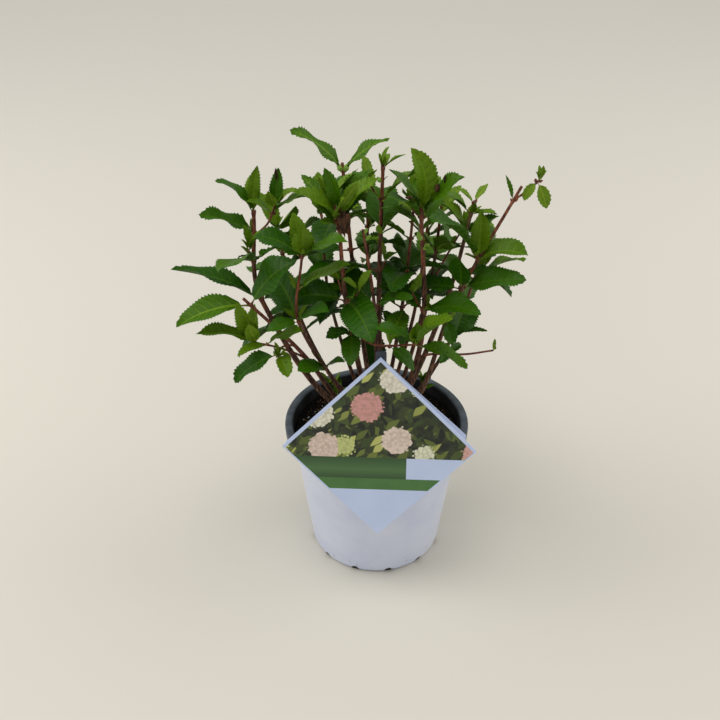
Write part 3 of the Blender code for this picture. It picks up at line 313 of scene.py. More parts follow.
def point_below_tip(points, distance):
    """Position and direction at a distance back from the line's end."""
    left = distance
    for a, b in zip(points[-2::-1], points[:0:-1]):
        step = (b - a).length
        if left <= step:
            return b + (a - b) * (left / step), (b - a).normalized()
        left -= step
    return points[0].copy(), (points[1] - points[0]).normalized()


def stretch(points, far, near, count):
    """Evenly spaced points of the line between two distances below its tip."""
    return [point_below_tip(points, far + (near - far) * k / (count - 1))[0] for k in range(count)]


def shoot_line(shoot):
    """A main stem's line, from the root crown's dome to its tip."""
    leave = heading_vector(math.radians(shoot.azimuth), math.radians(shoot.rise))
    start = crown_point(leave) + leave * GAP
    return curve_through(start, leave, Vector(shoot.knee) * CM, Vector(shoot.tip) * CM, 12)


def branch_line(branch, parent_line):
    """A side branch's line, which leaves its stem at a forward slant."""
    start, along = point_below_tip(parent_line, branch.below * CM)
    knee = Vector(branch.knee) * CM
    leave = ((knee - start).normalized() + along * 0.6).normalized()
    return curve_through(start, leave, knee, Vector(branch.tip) * CM, 6)


# ---------------------------------------------------------------- leaves and tubes as rings

# A leaf: where its stalk leaves the stem, its heading, the rise of its stalk and the arch of its blade
# (radians), its blade's length, its width over its length, its tilt, and its age from 0, young, to 1.
Leaf = namedtuple("Leaf", "root azimuth rise arch length width roll age")
Tube = namedtuple("Tube", "points radii")


def leaf_point(leaf, u):
    """Midrib point, side and upward vectors at u, 0 at the blade's base and 1 at its tip."""
    bend = leaf.arch * max(u, 0)
    if abs(leaf.arch) < 0.01:
        flat = math.cos(leaf.rise) * max(u, 0)
        high = math.sin(leaf.rise) * max(u, 0)
    else:
        flat = (math.sin(leaf.rise) - math.sin(leaf.rise - bend)) / leaf.arch
        high = (math.cos(leaf.rise - bend) - math.cos(leaf.rise)) / leaf.arch
    level = heading_vector(leaf.azimuth, 0)
    stalk = heading_vector(leaf.azimuth, leaf.rise) * leaf.length * PETIOLE * min(1 + u, 1)
    point = leaf.root + stalk + (level * flat + Vector((0, 0, high))) * leaf.length
    tilt = leaf.rise - bend
    side = Vector((-math.sin(leaf.azimuth), math.cos(leaf.azimuth), 0))
    up = Vector((0, 0, 1)) * math.cos(tilt) - level * math.sin(tilt)
    turn = leaf.roll * min(max(u + 1, 0), 1)
    return point, side * math.cos(turn) + up * math.sin(turn), up * math.cos(turn) - side * math.sin(turn)


def half_width(leaf, u):
    """Half the blade's width: ovate, widest near two fifths, drawn out to a point."""
    base = 0.62
    point = 0.92
    peak = base / (base + point)
    most = peak ** base * (1 - peak) ** point
    return leaf.length * leaf.width / 2 * u ** base * (1 - u) ** point / most


def leaf_rings(leaf, grow=0.0, from_blade=False):
    """Diamond cross-sections of a coarse leaf, and its tip."""
    large = leaf.length > LARGE_LEAF
    stations = (0.22, 0.5, 0.77) if large else (0.3, 0.66)
    stalk = max(0.012 * leaf.length, 0.55 * MM) + grow
    starts = (0,) if from_blade else (-1, 0) if large else (-1,)
    rings = []
    for u in starts:
        point, side, up = leaf_point(leaf, u)
        rings.append((point + side * stalk, point + up * stalk, point - side * stalk, point - up * stalk))
    for u in stations:
        point, side, up = leaf_point(leaf, u)
        wide = half_width(leaf, u) + grow
        lift = up * (half_width(leaf, u) * math.sin(LEAF_FOLD))
        thick = up * (leaf.length * LEAF_THICK / 2 + grow)
        out = side * (wide * math.cos(LEAF_FOLD))
        rings.append((point + out + lift, point + thick, point - out + lift, point - thick))
    tip = leaf_point(leaf, 1.0)[0]
    return rings, tip


def tube_rings(tube, sides, grow=0.0):
    """Cross-sections of a tube along its points, turned as little as possible from one to the next."""
    rings = []
    side = None
    last = len(tube.points) - 1
    for k, point in enumerate(tube.points):
        along = (tube.points[min(k + 1, last)] - tube.points[max(k - 1, 0)]).normalized()
        if side is None:
            side = along.orthogonal().normalized()
        side = (side - along * side.dot(along)).normalized()
        other = along.cross(side)
        radius = tube.radii[k] + grow
        turns = [math.tau * s / sides for s in range(sides)]
        rings.append([point + (side * math.cos(a) + other * math.sin(a)) * radius for a in turns])
    return rings


def loft(rings, tip=None):
    """Closed skin over rings of equal count, capped at the start, and at the end or drawn to a tip."""
    count = len(rings[0])
    verts = [point for ring in rings for point in ring]
    faces = [tuple(reversed(range(count)))]
    for k in range(len(rings) - 1):
        low = k * count
        for s in range(count):
            t = (s + 1) % count
            faces.append((low + s, low + t, low + count + t, low + count + s))
    low = (len(rings) - 1) * count
    if tip is None:
        faces.append(tuple(range(low, low + count)))
    else:
        verts.append(tip)
        faces += [(low + s, low + (s + 1) % count, len(verts) - 1) for s in range(count)]
    return verts, faces


# ---------------------------------------------------------------- the space each mass keeps

def in_the_way(point):
    """Whether a point is in or too near the pot, the soil, the card or its stake."""
    r = math.hypot(point.x, point.y)
    if point.z < POT_HEIGHT + 2 * MM:
        if wall_radius(point.z) - 4 * MM < r < RIM_RADIUS + 2 * MM:
            return True
        if r <= wall_radius(point.z) and point.z < SOIL_LEVEL + 3 * MM:
            return True
    if point.z < 3 * MM:
        return True
    right, up, out = card_axes()
    offset = point - CARD_CENTRE
    spread = abs(offset.dot(right)) + abs(offset.dot(up))
    if spread < CARD_SIDE / math.sqrt(2) + 6 * MM and -5 * MM < -offset.dot(out) < 7 * MM:
        return True
    if spread < CARD_SIDE / math.sqrt(2) and offset.dot(right) > 0 and 0 < -offset.dot(out) < 32 * MM:
        curl = offset.dot(right) ** 2 / (2 * CARD_CURL)
        if -offset.dot(out) < curl + 6 * MM:
            return True
    axis = STAKE_FOOT - STAKE_TOP
    share = min(max((point - STAKE_TOP).dot(axis) / axis.length_squared, 0), 1)
    return (STAKE_TOP + axis * share - point).length < 8 * MM


def box_of(points):
    """The lowest and the highest corner of the box round some points."""
    return [min(p[i] for p in points) for i in range(3)], [max(p[i] for p in points) for i in range(3)]


class Space:
    """The solids placed so far: who owns each, its box, its shell and its shell without the stalk."""

    def __init__(self):
        self.items = []

    def add(self, owner, whole, blade):
        """Takes a solid in, from its shell and its shell without the stalk."""
        low, high = box_of(whole[0])
        trees = [BVHTree.FromPolygons(verts, faces) for verts, faces in (whole, blade)]
        self.items.append((owner, low, high, trees[0], trees[1]))

    def is_clear(self, owner, whole, blade):
        """A piece keeps clear of other masses as a whole, and of its own mass beyond its stalk."""
        low, high = box_of(whole[0])
        whole_tree = BVHTree.FromPolygons(*whole)
        blade_tree = BVHTree.FromPolygons(*blade)
        for other, item_low, item_high, item_whole, item_blade in self.items:
            if any(low[i] > item_high[i] or high[i] < item_low[i] for i in range(3)):
                continue
            if other == owner:
                if blade_tree.overlap(item_blade):
                    return False
            elif whole_tree.overlap(item_whole):
                return False
        return True


# ---------------------------------------------------------------- the growth rule

class Mass:
    """One leafy mass: its leader, twigs and leaves, and the bare stem that carries it."""

    def __init__(self, name, bare, leader):
        self.name = name
        self.bare = bare
        self.leader = leader
        self.twigs = []
        self.leaves = []


def taper(points, foot, tip):
    """A tube that narrows evenly along its points."""
    length = line_length(points)
    radii = []
    run = 0.0
    for k, point in enumerate(points):
        if k:
            run += (point - points[k - 1]).length
        radii.append(foot + (tip - foot) * run / length)
    return Tube(points, radii)


def end_radius(foot):
    """A main stem's radius at its tip, from the one at its foot."""
    return max(foot * 0.5, 0.9 * MM)


def start_mass(shoot, line, reach):
    """Cuts a stem into its bare lower part and the leader of its mass, 0.3 mm apart."""
    whole = line_length(line)
    foot = shoot.girth * MM
    end = end_radius(foot)
    split = reach + 10 * MM
    if split > whole - 25 * MM:
        return Mass(shoot.name, None, taper(stretch(line, whole, 0, 6), foot, end))
    middle = foot + (end - foot) * (whole - split) / whole
    bare = taper(stretch(line, whole, split + GAP, 4 + int((whole - split) / STEM_STEP)), foot, middle)
    leader = taper(stretch(line, split, 0, 4 + int(split / STEM_STEP)), middle, end)
    return Mass(shoot.name, bare, leader)


def place_leaf(mass, space, leaf):
    """Adds a leaf to the mass at the first of the tried headings that is clear."""
    for turn, lift, size in TRIES:
        trial = leaf._replace(azimuth=leaf.azimuth + math.radians(turn), rise=leaf.rise + math.radians(lift),
                              length=leaf.length * size)
        whole = loft(*leaf_rings(trial, CLEARANCE))
        if any(in_the_way(point) for point in whole[0]):
            continue
        blade = loft(*leaf_rings(trial, 0, True))
        if space.is_clear(mass.name, whole, blade):
            mass.leaves.append(trial)
            space.add(mass.name, whole, blade)
            return True
    return False


def outline_leaf(root, row):
    """The leaf that reaches from its node to a given tip."""
    chord = Vector(row.tip) * CM - root
    arch = math.radians(row.arch)
    rise = math.atan2(chord.z, math.hypot(chord.x, chord.y)) + arch / 2 * 0.9
    length = chord.length / (PETIOLE + math.sin(arch / 2) / (arch / 2))
    age = 0.2 if row.young else 0.8
    azimuth = math.atan2(chord.y, chord.x)
    return Leaf(root, azimuth, rise, arch, length, row.width, math.radians(row.roll), age)


def rule_leaf(root, azimuth, order, longest, rng):
    """The leaf that the rule gives to a node: the nearer the tip, the smaller, younger and more upright."""
    size, rise, arch = LEAF_ORDERS[min(order, len(LEAF_ORDERS) - 1)]
    azimuth += rng.uniform(-0.2, 0.2)
    outward = Vector((root.x, root.y, 0)).normalized()
    roll = -FACE_OUT * outward.dot(heading_vector(azimuth + math.pi / 2, 0)) + rng.uniform(-0.25, 0.25)
    return Leaf(root, azimuth, math.radians(rise + rng.uniform(-9, 9)),
                math.radians(arch + rng.uniform(-12, 12)), longest * size * rng.uniform(0.9, 1.08),
                rng.uniform(0.5, 0.6), roll, min(order / 3 + rng.uniform(0, 0.25), 1))


def place_pair(mass, space, root, turn, order, longest, taken, rng):
    """Two opposite leaves at a node, apart from a side that an outline leaf or a side branch has taken."""
    for side in (0, math.pi):
        leaf = rule_leaf(root, turn + side, order, longest, rng)
        if all(abs(math.remainder(leaf.azimuth - azimuth, math.tau)) > 1.2 for azimuth in taken):
            place_leaf(mass, space, leaf)


def place_side_shoot(mass, space, root, azimuth, rng):
    """A short young shoot in a leaf's axil, with a pair of leaves at its tip and one leaf below them."""
    rise = math.radians(rng.uniform(38, 62))
    length = rng.uniform(9, 20) * MM
    leave = heading_vector(azimuth + rng.uniform(-0.4, 0.4), rise)
    tip = root + leave * length + Vector((0, 0, length * 0.15))
    twig = taper([root, root + leave * length * 0.55, tip], 0.95 * MM, 0.75 * MM)
    whole = loft(tube_rings(twig, 3, CLEARANCE))
    outer = loft(tube_rings(Tube(twig.points[1:], twig.radii[1:]), 3))
    if any(in_the_way(point) for point in whole[0]) or not space.is_clear(mass.name, whole, outer):
        return
    before = len(mass.leaves)
    mass.twigs.append(twig)
    space.add(mass.name, whole, outer)
    longest = rng.uniform(26, 42) * MM
    place_pair(mass, space, tip - leave * 0.4 * MM, azimuth + math.pi / 2, 0, longest, (), rng)
    place_leaf(mass, space, rule_leaf(twig.points[1], azimuth, 1, rng.uniform(18, 28) * MM, rng))
    if len(mass.leaves) == before:
        mass.twigs.pop()
        space.items.pop()


def grow_shrub():
    """All masses of the shrub, and the line of every stem and branch."""
    rng = random.Random(SEED)
    space = Space()
    masses = {}
    lines = {}
    taken = {}
    for shoot in SHOOTS:
        line = shoot_line(shoot)
        forks = [branch.below for branch in BRANCHES if branch.parent == shoot.name]
        masses[shoot.name] = start_mass(shoot, line, max(list(shoot.nodes) + forks) * CM)
        lines[shoot.name] = line
    for branch in BRANCHES:
        line = branch_line(branch, lines[branch.parent])
        points = stretch(line, line_length(line), 0, 4 + int(line_length(line) / STEM_STEP))
        masses[branch.parent].twigs.append(taper(points, branch.girth * MM, BRANCH_END))
        lines[branch.name] = line
        nodes = next(shoot.nodes for shoot in SHOOTS if shoot.name == branch.parent)
        if branch.below in nodes:
            away = points[-1] - points[0]
            taken[branch.parent, nodes.index(branch.below)] = [math.atan2(away.y, away.x)]
    for mass in masses.values():
        for tube in [mass.leader] + mass.twigs:
            space.add(mass.name, loft(tube_rings(tube, 6, GAP)), loft(tube_rings(tube, 6)))
        if mass.bare:
            space.add("limb", loft(tube_rings(mass.bare, 6, GAP)), loft(tube_rings(mass.bare, 6)))
    for row in OUTLINE_LEAVES:
        carrier = next(c for c in SHOOTS + BRANCHES if c.name == row.stem)
        mass = masses[getattr(carrier, "parent", carrier.name)]
        root = point_below_tip(lines[row.stem], carrier.nodes[row.node] * CM)[0]
        leaf = outline_leaf(root, row)
        place_leaf(mass, space, leaf)
        taken.setdefault((row.stem, row.node), []).append(leaf.azimuth)
    for order in range(6):
        for carrier in SHOOTS + BRANCHES:
            if order >= len(carrier.nodes):
                continue
            mass = masses[getattr(carrier, "parent", carrier.name)]
            root = point_below_tip(lines[carrier.name], carrier.nodes[order] * CM)[0]
            turn = math.radians(carrier.turn + 90 * order)
            age = order + (2 if carrier.stub else 0)
            used = taken.get((carrier.name, order), ())
            place_pair(mass, space, root, turn, age, carrier.leaf * CM, used, rng)
    for carrier in SHOOTS:
        for order in range(1, len(carrier.nodes)):
            root = point_below_tip(lines[carrier.name], carrier.nodes[order] * CM)[0]
            for side in (0, math.pi):
                if rng.random() < SIDE_SHOOT_SHARE:
                    place_side_shoot(masses[carrier.name], space, root,
                                     math.radians(carrier.turn + 90 * order) + side, rng)
    return list(masses.values()), lines


# ---------------------------------------------------------------- sizes of the finer growth

FINE_SEED = 23
TISSUE, VEIN = range(2)             # the two finishes of each side of a blade
VEIN_PITCH = 6.6 * MM               # one pair of side veins for each of these of the blade's length
MOST_VEINS = 8
VEIN_WIDTH = 0.6 * MM
RIB_WIDTH = 1.25 * MM               # the midrib's half width at the blade's base
QUILT = 1.4 * MM                    # how far the blade puffs up between its side veins
TOOTH_DEPTH = 1.1 * MM
TOOTH_LEAN = 0.76                   # a tooth's point, from its foot towards the next one's
SHALLOW = 0.78                      # of the half width, the deepest that a notch may reach
MIDWAY = 0.52                       # of the half width, where the blade is highest between two veins
YOUNG_FOLD = math.radians(17)       # a young blade is folded this much more
OLD_LENGTH = 32 * MM                # a longer blade is past its palest green, the more so the flatter it lies
YOUNG_BELOW = 0.16                  # the ages up to which veins and undersides have the two younger tones
FRESH_BELOW = 0.55
PAINTED_LIGHT_FROM = 290 * MM                # painted light: blades are painted paler from this height up to the next, for the stronger light on the crown's top
PAINTED_LIGHT_TO = 360 * MM
RING_STEP = 2.4 * MM                # between the cross-sections of a stem
NODE_SWELL = 0.32                   # of the stem's radius
NODE_SPREAD = 1.3 * MM
OLD_BELOW = 240 * MM                # below its tip a main stem is as old as at its foot
OLD_AGE = 0.95                      # the bark's age runs from 0, green, to 1, old wood
TOP_AGE = 0.12                      # of a main stem's tip
BRANCH_AGES = (0.08, 0.42)          # of a side branch's tip, and of its foot
TWIG_AGES = (0.2, 0.14, 0.1)        # along a twig, from its foot
AGE_MOTTLE = 0.1
STEM_FACETS = 12
STALK_FACETS = 7
STALK_PLACES = (-1, -0.7, -0.3, 0.0, 0.05)     # along a leaf, -1 at its stem and 0 at its blade's base
STALK_RADII = (1.15, 0.85, 0.68, 0.62, 0.4)    # mm, at each of these
BARK_RELIEF = 0.52 * MM             # of the oldest bark
STALK_RELIEF = 0.06 * MM
BUD_LENGTH = 3.4 * MM
BUD_OUT = 1.2                       # mm, from the stem's line to the bud's foot
TIP_LEAVES = (13, 9, 5.5)           # mm, the pairs of folded leaves at a shoot's tip, from the lowest up
AXIL_LEAF_SHARE = 0.34              # of the leaf axils that have two small leaves and no bud

# Sizes of the finer pot, mix and card
POT_FACETS = 288
NOTCH_BACK = WALL_FOOT_RADIUS - FOOT_ROUND - 0.6 * MM
NOTCH_EDGE = NOTCH_BACK - 0.3 * MM  # the last ring of the underside that stays flat
NOTCH_DEEP = 1.2 * MM               # how far the foot's notches go in
NOTCH_HIGH = 5.4 * MM
NOTCH_HALF = 3.8 * MM               # half a notch's width
WHITE, SLATE, PAINTED_SHADE = range(3)       # the pot's finishes: its wall, its lip, and the near black of painted shade on its inside and the backs of its notches
BANK = 7 * MM                       # how far the mix climbs the wall
BANK_WIDTH = 24 * MM
MIX_FACETS = 120
MIX_RINGS = 30
BED_FACETS = 96                     # of the surface that the chips are strewn on
BED_RINGS = 24
BED_EDGE = SOIL_EDGE - 2.5 * MM
CHIP_LIFT = 0.6 * MM                # from the mix up to the chips' middles
STUMP_FACETS = 72
TOP_BORDER = 2.9 * MM               # of white card over the picture
LOW_BORDER = 1.5 * MM               # and beside the bands
PICTURE_FOOT = -8.4 * MM            # heights on the card and the box's left side, from its centre
BAND_FOOT = -28.2 * MM
LINE_FOOT = -38.8 * MM
BOX_LEFT = 23.5 * MM
CARD_SKIN = 0.05 * MM               # how far the printed fields stand over the white stock
CARD_CORNER = 1.2 * MM
CARD_EDGE = 0.15 * MM
CARD_COLUMNS = 48
STAKE_BEVEL = 0.5 * MM
GROOVE_TOP = 1.6 * MM               # half the width of the stake's groove at the face, and at its bottom
GROOVE_FLOOR = 1.0 * MM

# Chips strewn over the mix: their name and seed, how many to a square metre, their size, and their finish's
# name, two colours and roughness.
CHIPS = (
    ("dark_chips", 3, 36000.0, 5.0 * MM, "bark_chip", (34, 28, 23), (72, 56, 42), 0.85),
    ("brown_chips", 5, 20000.0, 3.4 * MM, "brown_chip", (96, 68, 44), (142, 108, 74), 0.8),
    ("pale_grains", 7, 11000.0, 3.4 * MM, "pale_grain", (196, 200, 190), (232, 234, 224), 0.7),
)

# A soft round lamp: its name, its place, the point it shines on, its width (m), its power (W), its colour.
LAMPS = (
    ("window_light", (-1.4, 0.1, 1.2), (0, 0, 0.15), 1.3, 10, (1.0, 0.97, 0.92)),
    ("door_light", (1.4, 0.3, 1.1), (0, 0, 0.15), 1.3, 7, (1.0, 0.97, 0.92)),
    ("top_light", (-0.3, -0.4, 2.1), (0, 0, 0.2), 1.0, 11, (1.0, 0.985, 0.96)),
)
CAMERA_PLACE = (-0.0154, -0.7564, 0.7215)
CAMERA_TILT = math.radians(55.6)    # from straight down
CAMERA_LENS = 51.35                 # mm

# Display colours, 0-255, of the blades' upper sides, from the oldest leaves to the youngest
BLADES = (
    ("blade_dark", (42, 83, 0)), ("blade_deep", (53, 94, 0)), ("blade_full", (65, 103, 2)),
    ("blade_fresh", (77, 111, 7)), ("blade_bright", (89, 121, 16)), ("blade_young", (100, 131, 30)),
)
# Veins and undersides have three tones, from the oldest leaves to the youngest.
VEINS = (("vein_dark", (68, 104, 14)), ("vein_fresh", (104, 136, 30)), ("vein_young", (136, 160, 54)))
BACKS = (("back_dark", (54, 90, 14)), ("back_fresh", (74, 110, 20)), ("back_young", (94, 128, 32)))
BACK_VEINS = (("rib_dark", (96, 128, 40)), ("rib_fresh", (120, 148, 52)), ("rib_young", (140, 164, 66)))

# The card's printed leaves, from the lowest layer up: their turn, how many to a metre, and their greens.
PRINTED_LEAVES = (
    (0.9, 118.0, [(0.3, (44, 58, 30)), (0.7, (92, 104, 48))]),
    (0.1, 140.0, [(0.2, (18, 26, 20)), (0.8, (60, 74, 38))]),
    (-0.8, 128.0, [(0.2, (54, 70, 34)), (0.6, (112, 124, 56)), (0.9, (178, 182, 104))]),
)
# And its flower heads: where on the ramp each colour lies, and the colour.
PRINTED_HEADS = (
    (0.15, (188, 198, 126)), (0.4, (224, 226, 204)), (0.65, (228, 222, 208)), (0.9, (206, 148, 146)),
)
CARD_GRAIN = (900.0, 2.0, 0.02 * MM, 0.3)   # scale, detail, height and strength

WOODY = ("right_brown",)             # brown to its tip
CUT_TIPS = ("right_brown", "right_back")   # no folded leaves at the tip

# A pale bud on a stem's side: the stem, how far below its tip (cm), heading, rise (degrees), length (mm).
PALE_BUDS = (
    ("top_centre", 0.7, 182, 60, 7.6), ("top_centre", 0.7, 2, 60, 7.6),
    ("mid_front", 0.3, 0, 62, 5.0), ("mid_front", 0.95, 5, 42, 6.2),
    ("right_front", 2.9, 186, 74, 8.6), ("right_front", 3.6, 0, 28, 6.0), ("right_front", 3.8, -30, 58, 5.0),
    ("mid_back", 1.4, 180, 52, 6.0),
)

# A small young leaf on a stem's side: the same, and its age.
SMALL_LEAVES = (
    ("mid_back", 3.0, -10, 44, 10.0, 0.1), ("mid_back", 3.1, -80, 30, 8.0, 0.1),
    ("mid_back", 1.4, 10, 50, 6.0, 0.2), ("mid_front", 0.9, 200, 50, 9.0, 0.3),
    ("mid_front", 1.0, -20, 24, 12.0, 0.3), ("right_front", 3.7, -50, 20, 9.0, 0.1),
    ("left_tall", 4.4, -60, 40, 12.0, 0.2),
)

# A dry forked end: the stem, and where its two ends lie from the stem's tip (cm).
DRY_FORKS = (
    ("right_back", (0.55, 0.0, 0.75), (0.05, 0.1, 0.45)), ("mid_back", (0.25, 0.1, 0.4), (-0.2, 0.0, 0.2)),
)

# A withered brown remnant: its centre (cm), half its width, depth and height (mm).
WITHERED = (
    ((-2.8, -2.6, 35.2), (5.6, 4.4, 9.6)), ((-8.3, 1.1, 37.7), (1.4, 1.1, 4.8)),
    ((4.45, -2.6, 38.2), (2.6, 0.9, 3.4)), ((5.0, -2.4, 38.8), (0.9, 0.9, 4.4)),
    ((2.2, -3.6, 37.9), (3.4, 1.2, 1.2)),
)


# ---------------------------------------------------------------- finishes

def display(red, green, blue):
    """Linear colour from 0-255 display values."""
    return tuple((c / 255) ** 2.2 for c in (red, green, blue)) + (1.0,)


class Nodes:
    """Short ways to add nodes to a tree."""

    def node(self, kind, sockets=None, **settings):
        """A node with its settings, and with inputs linked to outputs or set to constants."""
        made = self.tree.nodes.new(kind)
        for key, value in settings.items():
            setattr(made, key, value)
        for key, value in (sockets or {}).items():
            if isinstance(value, bpy.types.NodeSocket):
                self.tree.links.new(value, made.inputs[key])
            else:
                made.inputs[key].default_value = value
        return made

    def reckon(self, operation, first, second):
        """The result of one sum."""
        return self.node("ShaderNodeMath", {0: first, 1: second}, operation=operation).outputs["Value"]


class Finish(Nodes):
    """A Principled material and short ways to add the nodes behind it."""

    def __init__(self, name, colour, roughness, specular=0.5):
        self.material = bpy.data.materials.new(name)
        self.material.use_nodes = True
        self.tree = self.material.node_tree
        self.shader = self.tree.nodes["Principled BSDF"]
        self.shader.inputs["Base Color"].default_value = display(*colour)
        self.shader.inputs["Roughness"].default_value = roughness
        self.shader.inputs["Specular IOR Level"].default_value = specular
        self.place = self.node("ShaderNodeTexCoord").outputs["Object"]

    def height(self):
        """How high a point of the surface lies."""
        return self.node("ShaderNodeSeparateXYZ", {"Vector": self.place}).outputs["Z"]

    def noise(self, scale, detail, place=None):
        """Soft noise over the surface, or over another place."""
        sockets = {"Vector": place or self.place, "Scale": scale, "Detail": detail}
        return self.node("ShaderNodeTexNoise", sockets).outputs["Fac"]

    def cells(self, sockets, **settings):
        """Cells of random shape, as their distance and colour."""
        return self.node("ShaderNodeTexVoronoi", {"Vector": self.place, **sockets}, **settings).outputs

    def drawn(self, place, scale):
        """The place drawn out along Z by a scale below 1."""
        return self.node("ShaderNodeMapping", {"Vector": place, "Scale": (1.0, 1.0, scale)}).outputs["Vector"]

    def between(self, value, low, high, start=0.0, end=1.0):
        """What runs from start to end while the value runs from low to high."""
        sockets = {"Value": value, "From Min": low, "From Max": high, "To Min": start, "To Max": end}
        return self.node("ShaderNodeMapRange", sockets).outputs["Result"]

    def ramp(self, value, stops):
        """Colours dealt out along a value, from (position, display colour) stops."""
        made = self.node("ShaderNodeValToRGB", {"Fac": value})
        elements = made.color_ramp.elements
        while len(elements) < len(stops):
            elements.new(0.5)
        for element, (position, colour) in zip(elements, stops):
            element.position = position
            element.color = display(*colour)
        return made.outputs["Color"]

    def over(self, under, top, share):
        """One colour laid over another by a share from 0 to 1."""
        return self.node("ShaderNodeMix", {"Factor": share, 6: under, 7: top}, data_type="RGBA").outputs[2]

    def colour(self, output):
        """Colours the finish by a node's output."""
        self.tree.links.new(output, self.shader.inputs["Base Color"])

    def gloss(self, value, low, high):
        """Runs the roughness from low to high with a value."""
        self.tree.links.new(self.between(value, 0.0, 1.0, low, high), self.shader.inputs["Roughness"])

    def bump(self, value, distance, strength=1.0):
        """Adds relief that follows a value to what the finish has."""
        made = self.node("ShaderNodeBump", {"Height": value, "Distance": distance, "Strength": strength})
        before = self.shader.inputs["Normal"].links
        if before:
            self.tree.links.new(before[0].from_socket, made.inputs["Normal"])
        self.tree.links.new(made.outputs["Normal"], self.shader.inputs["Normal"])

    def grain(self, scale, detail, distance, strength):
        """Adds relief that follows a noise."""
        self.bump(self.noise(scale, detail), distance, strength)


def blade_finish(name, colour, roughness, net):
    """Leaf tissue: a plain green under the fine net of its veinlets."""
    finish = Finish(name, colour, roughness, 0.17)
    cells = finish.cells({"Scale": 620.0}, feature="DISTANCE_TO_EDGE")
    finish.bump(cells["Distance"], net, 0.6)
    finish.grain(240.0, 4.0, 1.1 * MM, 0.75)
    return finish.material


def leaf_finishes():
    """The greens of blades, veins and undersides, by name."""
    made = {}
    for k, (name, colour) in enumerate(BLADES):
        made[name] = blade_finish(name, colour, 0.38 + 0.02 * k, 0.14 * MM)
    for name, colour in VEINS:
        made[name] = blade_finish(name, colour, 0.5, 0.05 * MM)
    for name, colour in BACKS + BACK_VEINS:
        made[name] = blade_finish(name, colour, 0.64, 0.2 * MM)
    return made


def bark_finish(name, dark, light, roughness, relief):
    """Bark mottled between two browns, streaked along the stem and dotted with small raised pores."""
    finish = Finish(name, dark, roughness, 0.35)
    grain = finish.noise(560.0, 5.0, finish.drawn(finish.place, 0.22))
    finish.colour(finish.ramp(grain, [(0.38, dark), (0.62, light)]))
    finish.gloss(grain, roughness - 0.08, roughness + 0.14)
    pores = finish.cells({"Scale": 420.0})["Distance"]
    finish.bump(grain, relief)
    finish.bump(finish.between(pores, 0.12, 0.3, 1.0, 0.0), relief * 0.6, 0.6)
    return finish.material


def wall_finish():
    """The pot's white wall: smooth plastic with faint clouding and a little dust towards its foot, tinted blue
    as painted shade.
    """
    # painted shade: the white is tinted blue, the colour of the shade on the wall's front
    finish = Finish("white_wall", (216, 223, 240), 0.36)
    cloud = finish.noise(26.0, 3.0)
    base = finish.ramp(cloud, [(0.3, (203, 212, 238)), (0.7, (216, 223, 243))])
    low = finish.between(finish.height(), 0.0, 30 * MM, 0.5, 0.0)
    specks = finish.ramp(finish.noise(300.0, 6.0), [(0.6, (0, 0, 0)), (0.74, (255, 255, 255))])
    finish.colour(finish.over(base, display(130, 108, 86), finish.reckon("MULTIPLY", low, specks)))
    finish.gloss(cloud, 0.3, 0.46)
    finish.grain(300.0, 4.0, 0.05 * MM, 0.4)
    return finish.material


def mix_finish():
    """Dark peaty potting mix."""
    finish = Finish("potting_mix", (26, 23, 21), 0.95, 0.2)
    crumbs = finish.noise(520.0, 8.0)
    finish.colour(finish.ramp(crumbs, [(0.36, (9, 8, 8)), (0.55, (26, 23, 21)), (0.74, (58, 50, 42))]))
    finish.bump(crumbs, 1.2 * MM)
    finish.grain(160.0, 4.0, 1.6 * MM, 0.6)
    return finish.material


def clouded(name, stops, cloud, gloss, grain, specular=0.5):
    """A finish whose colour and roughness follow one noise, over a fine grain."""
    finish = Finish(name, stops[0][1], gloss[0], specular)
    shade = finish.noise(*cloud)
    finish.colour(finish.ramp(shade, stops))
    finish.gloss(shade, *gloss)
    finish.grain(*grain)
    return finish.material


def polythene(name, dark, middle, pale):
    """Grey polythene, scuffed paler in places."""
    stops = [(0.35, dark), (0.6, middle), (0.78, pale)]
    return clouded(name, stops, (90.0, 6.0), (0.42, 0.66), (700.0, 3.0, 0.08 * MM, 0.5))


def crumb_finish(name, dark, light, roughness):
    """A chip of bark or a grain of the mix."""
    stops = [(0.35, dark), (0.68, light)]
    gloss = (roughness - 0.1, roughness + 0.08)
    return clouded(name, stops, (700.0, 4.0), gloss, (700.0, 4.0, 0.3 * MM, 1.0), 0.3)


def card_stock():
    """Glazed white card, tinted blue as painted shade."""
    # painted shade: the white card is tinted blue, the colour of its sky-lit shade
    stops = [(0.35, (188, 203, 238)), (0.68, (193, 208, 243))]
    return clouded("white_stock", stops, (34.0, 2.0), (0.28, 0.42), CARD_GRAIN)


def foot_band():
    """The plain green of the print's lower band."""
    stops = [(0.3, (66, 108, 56)), (0.72, (74, 118, 62))]
    return clouded("band_light", stops, (60.0, 3.0), (0.3, 0.42), CARD_GRAIN)


def stake_finish():
    """Dark grey plastic, a little worn."""
    stops = [(0.35, (40, 47, 63)), (0.7, (56, 64, 82))]
    return clouded("stake_plastic", stops, (120.0, 4.0), (0.38, 0.56), (600.0, 2.0, 0.05 * MM, 0.4))


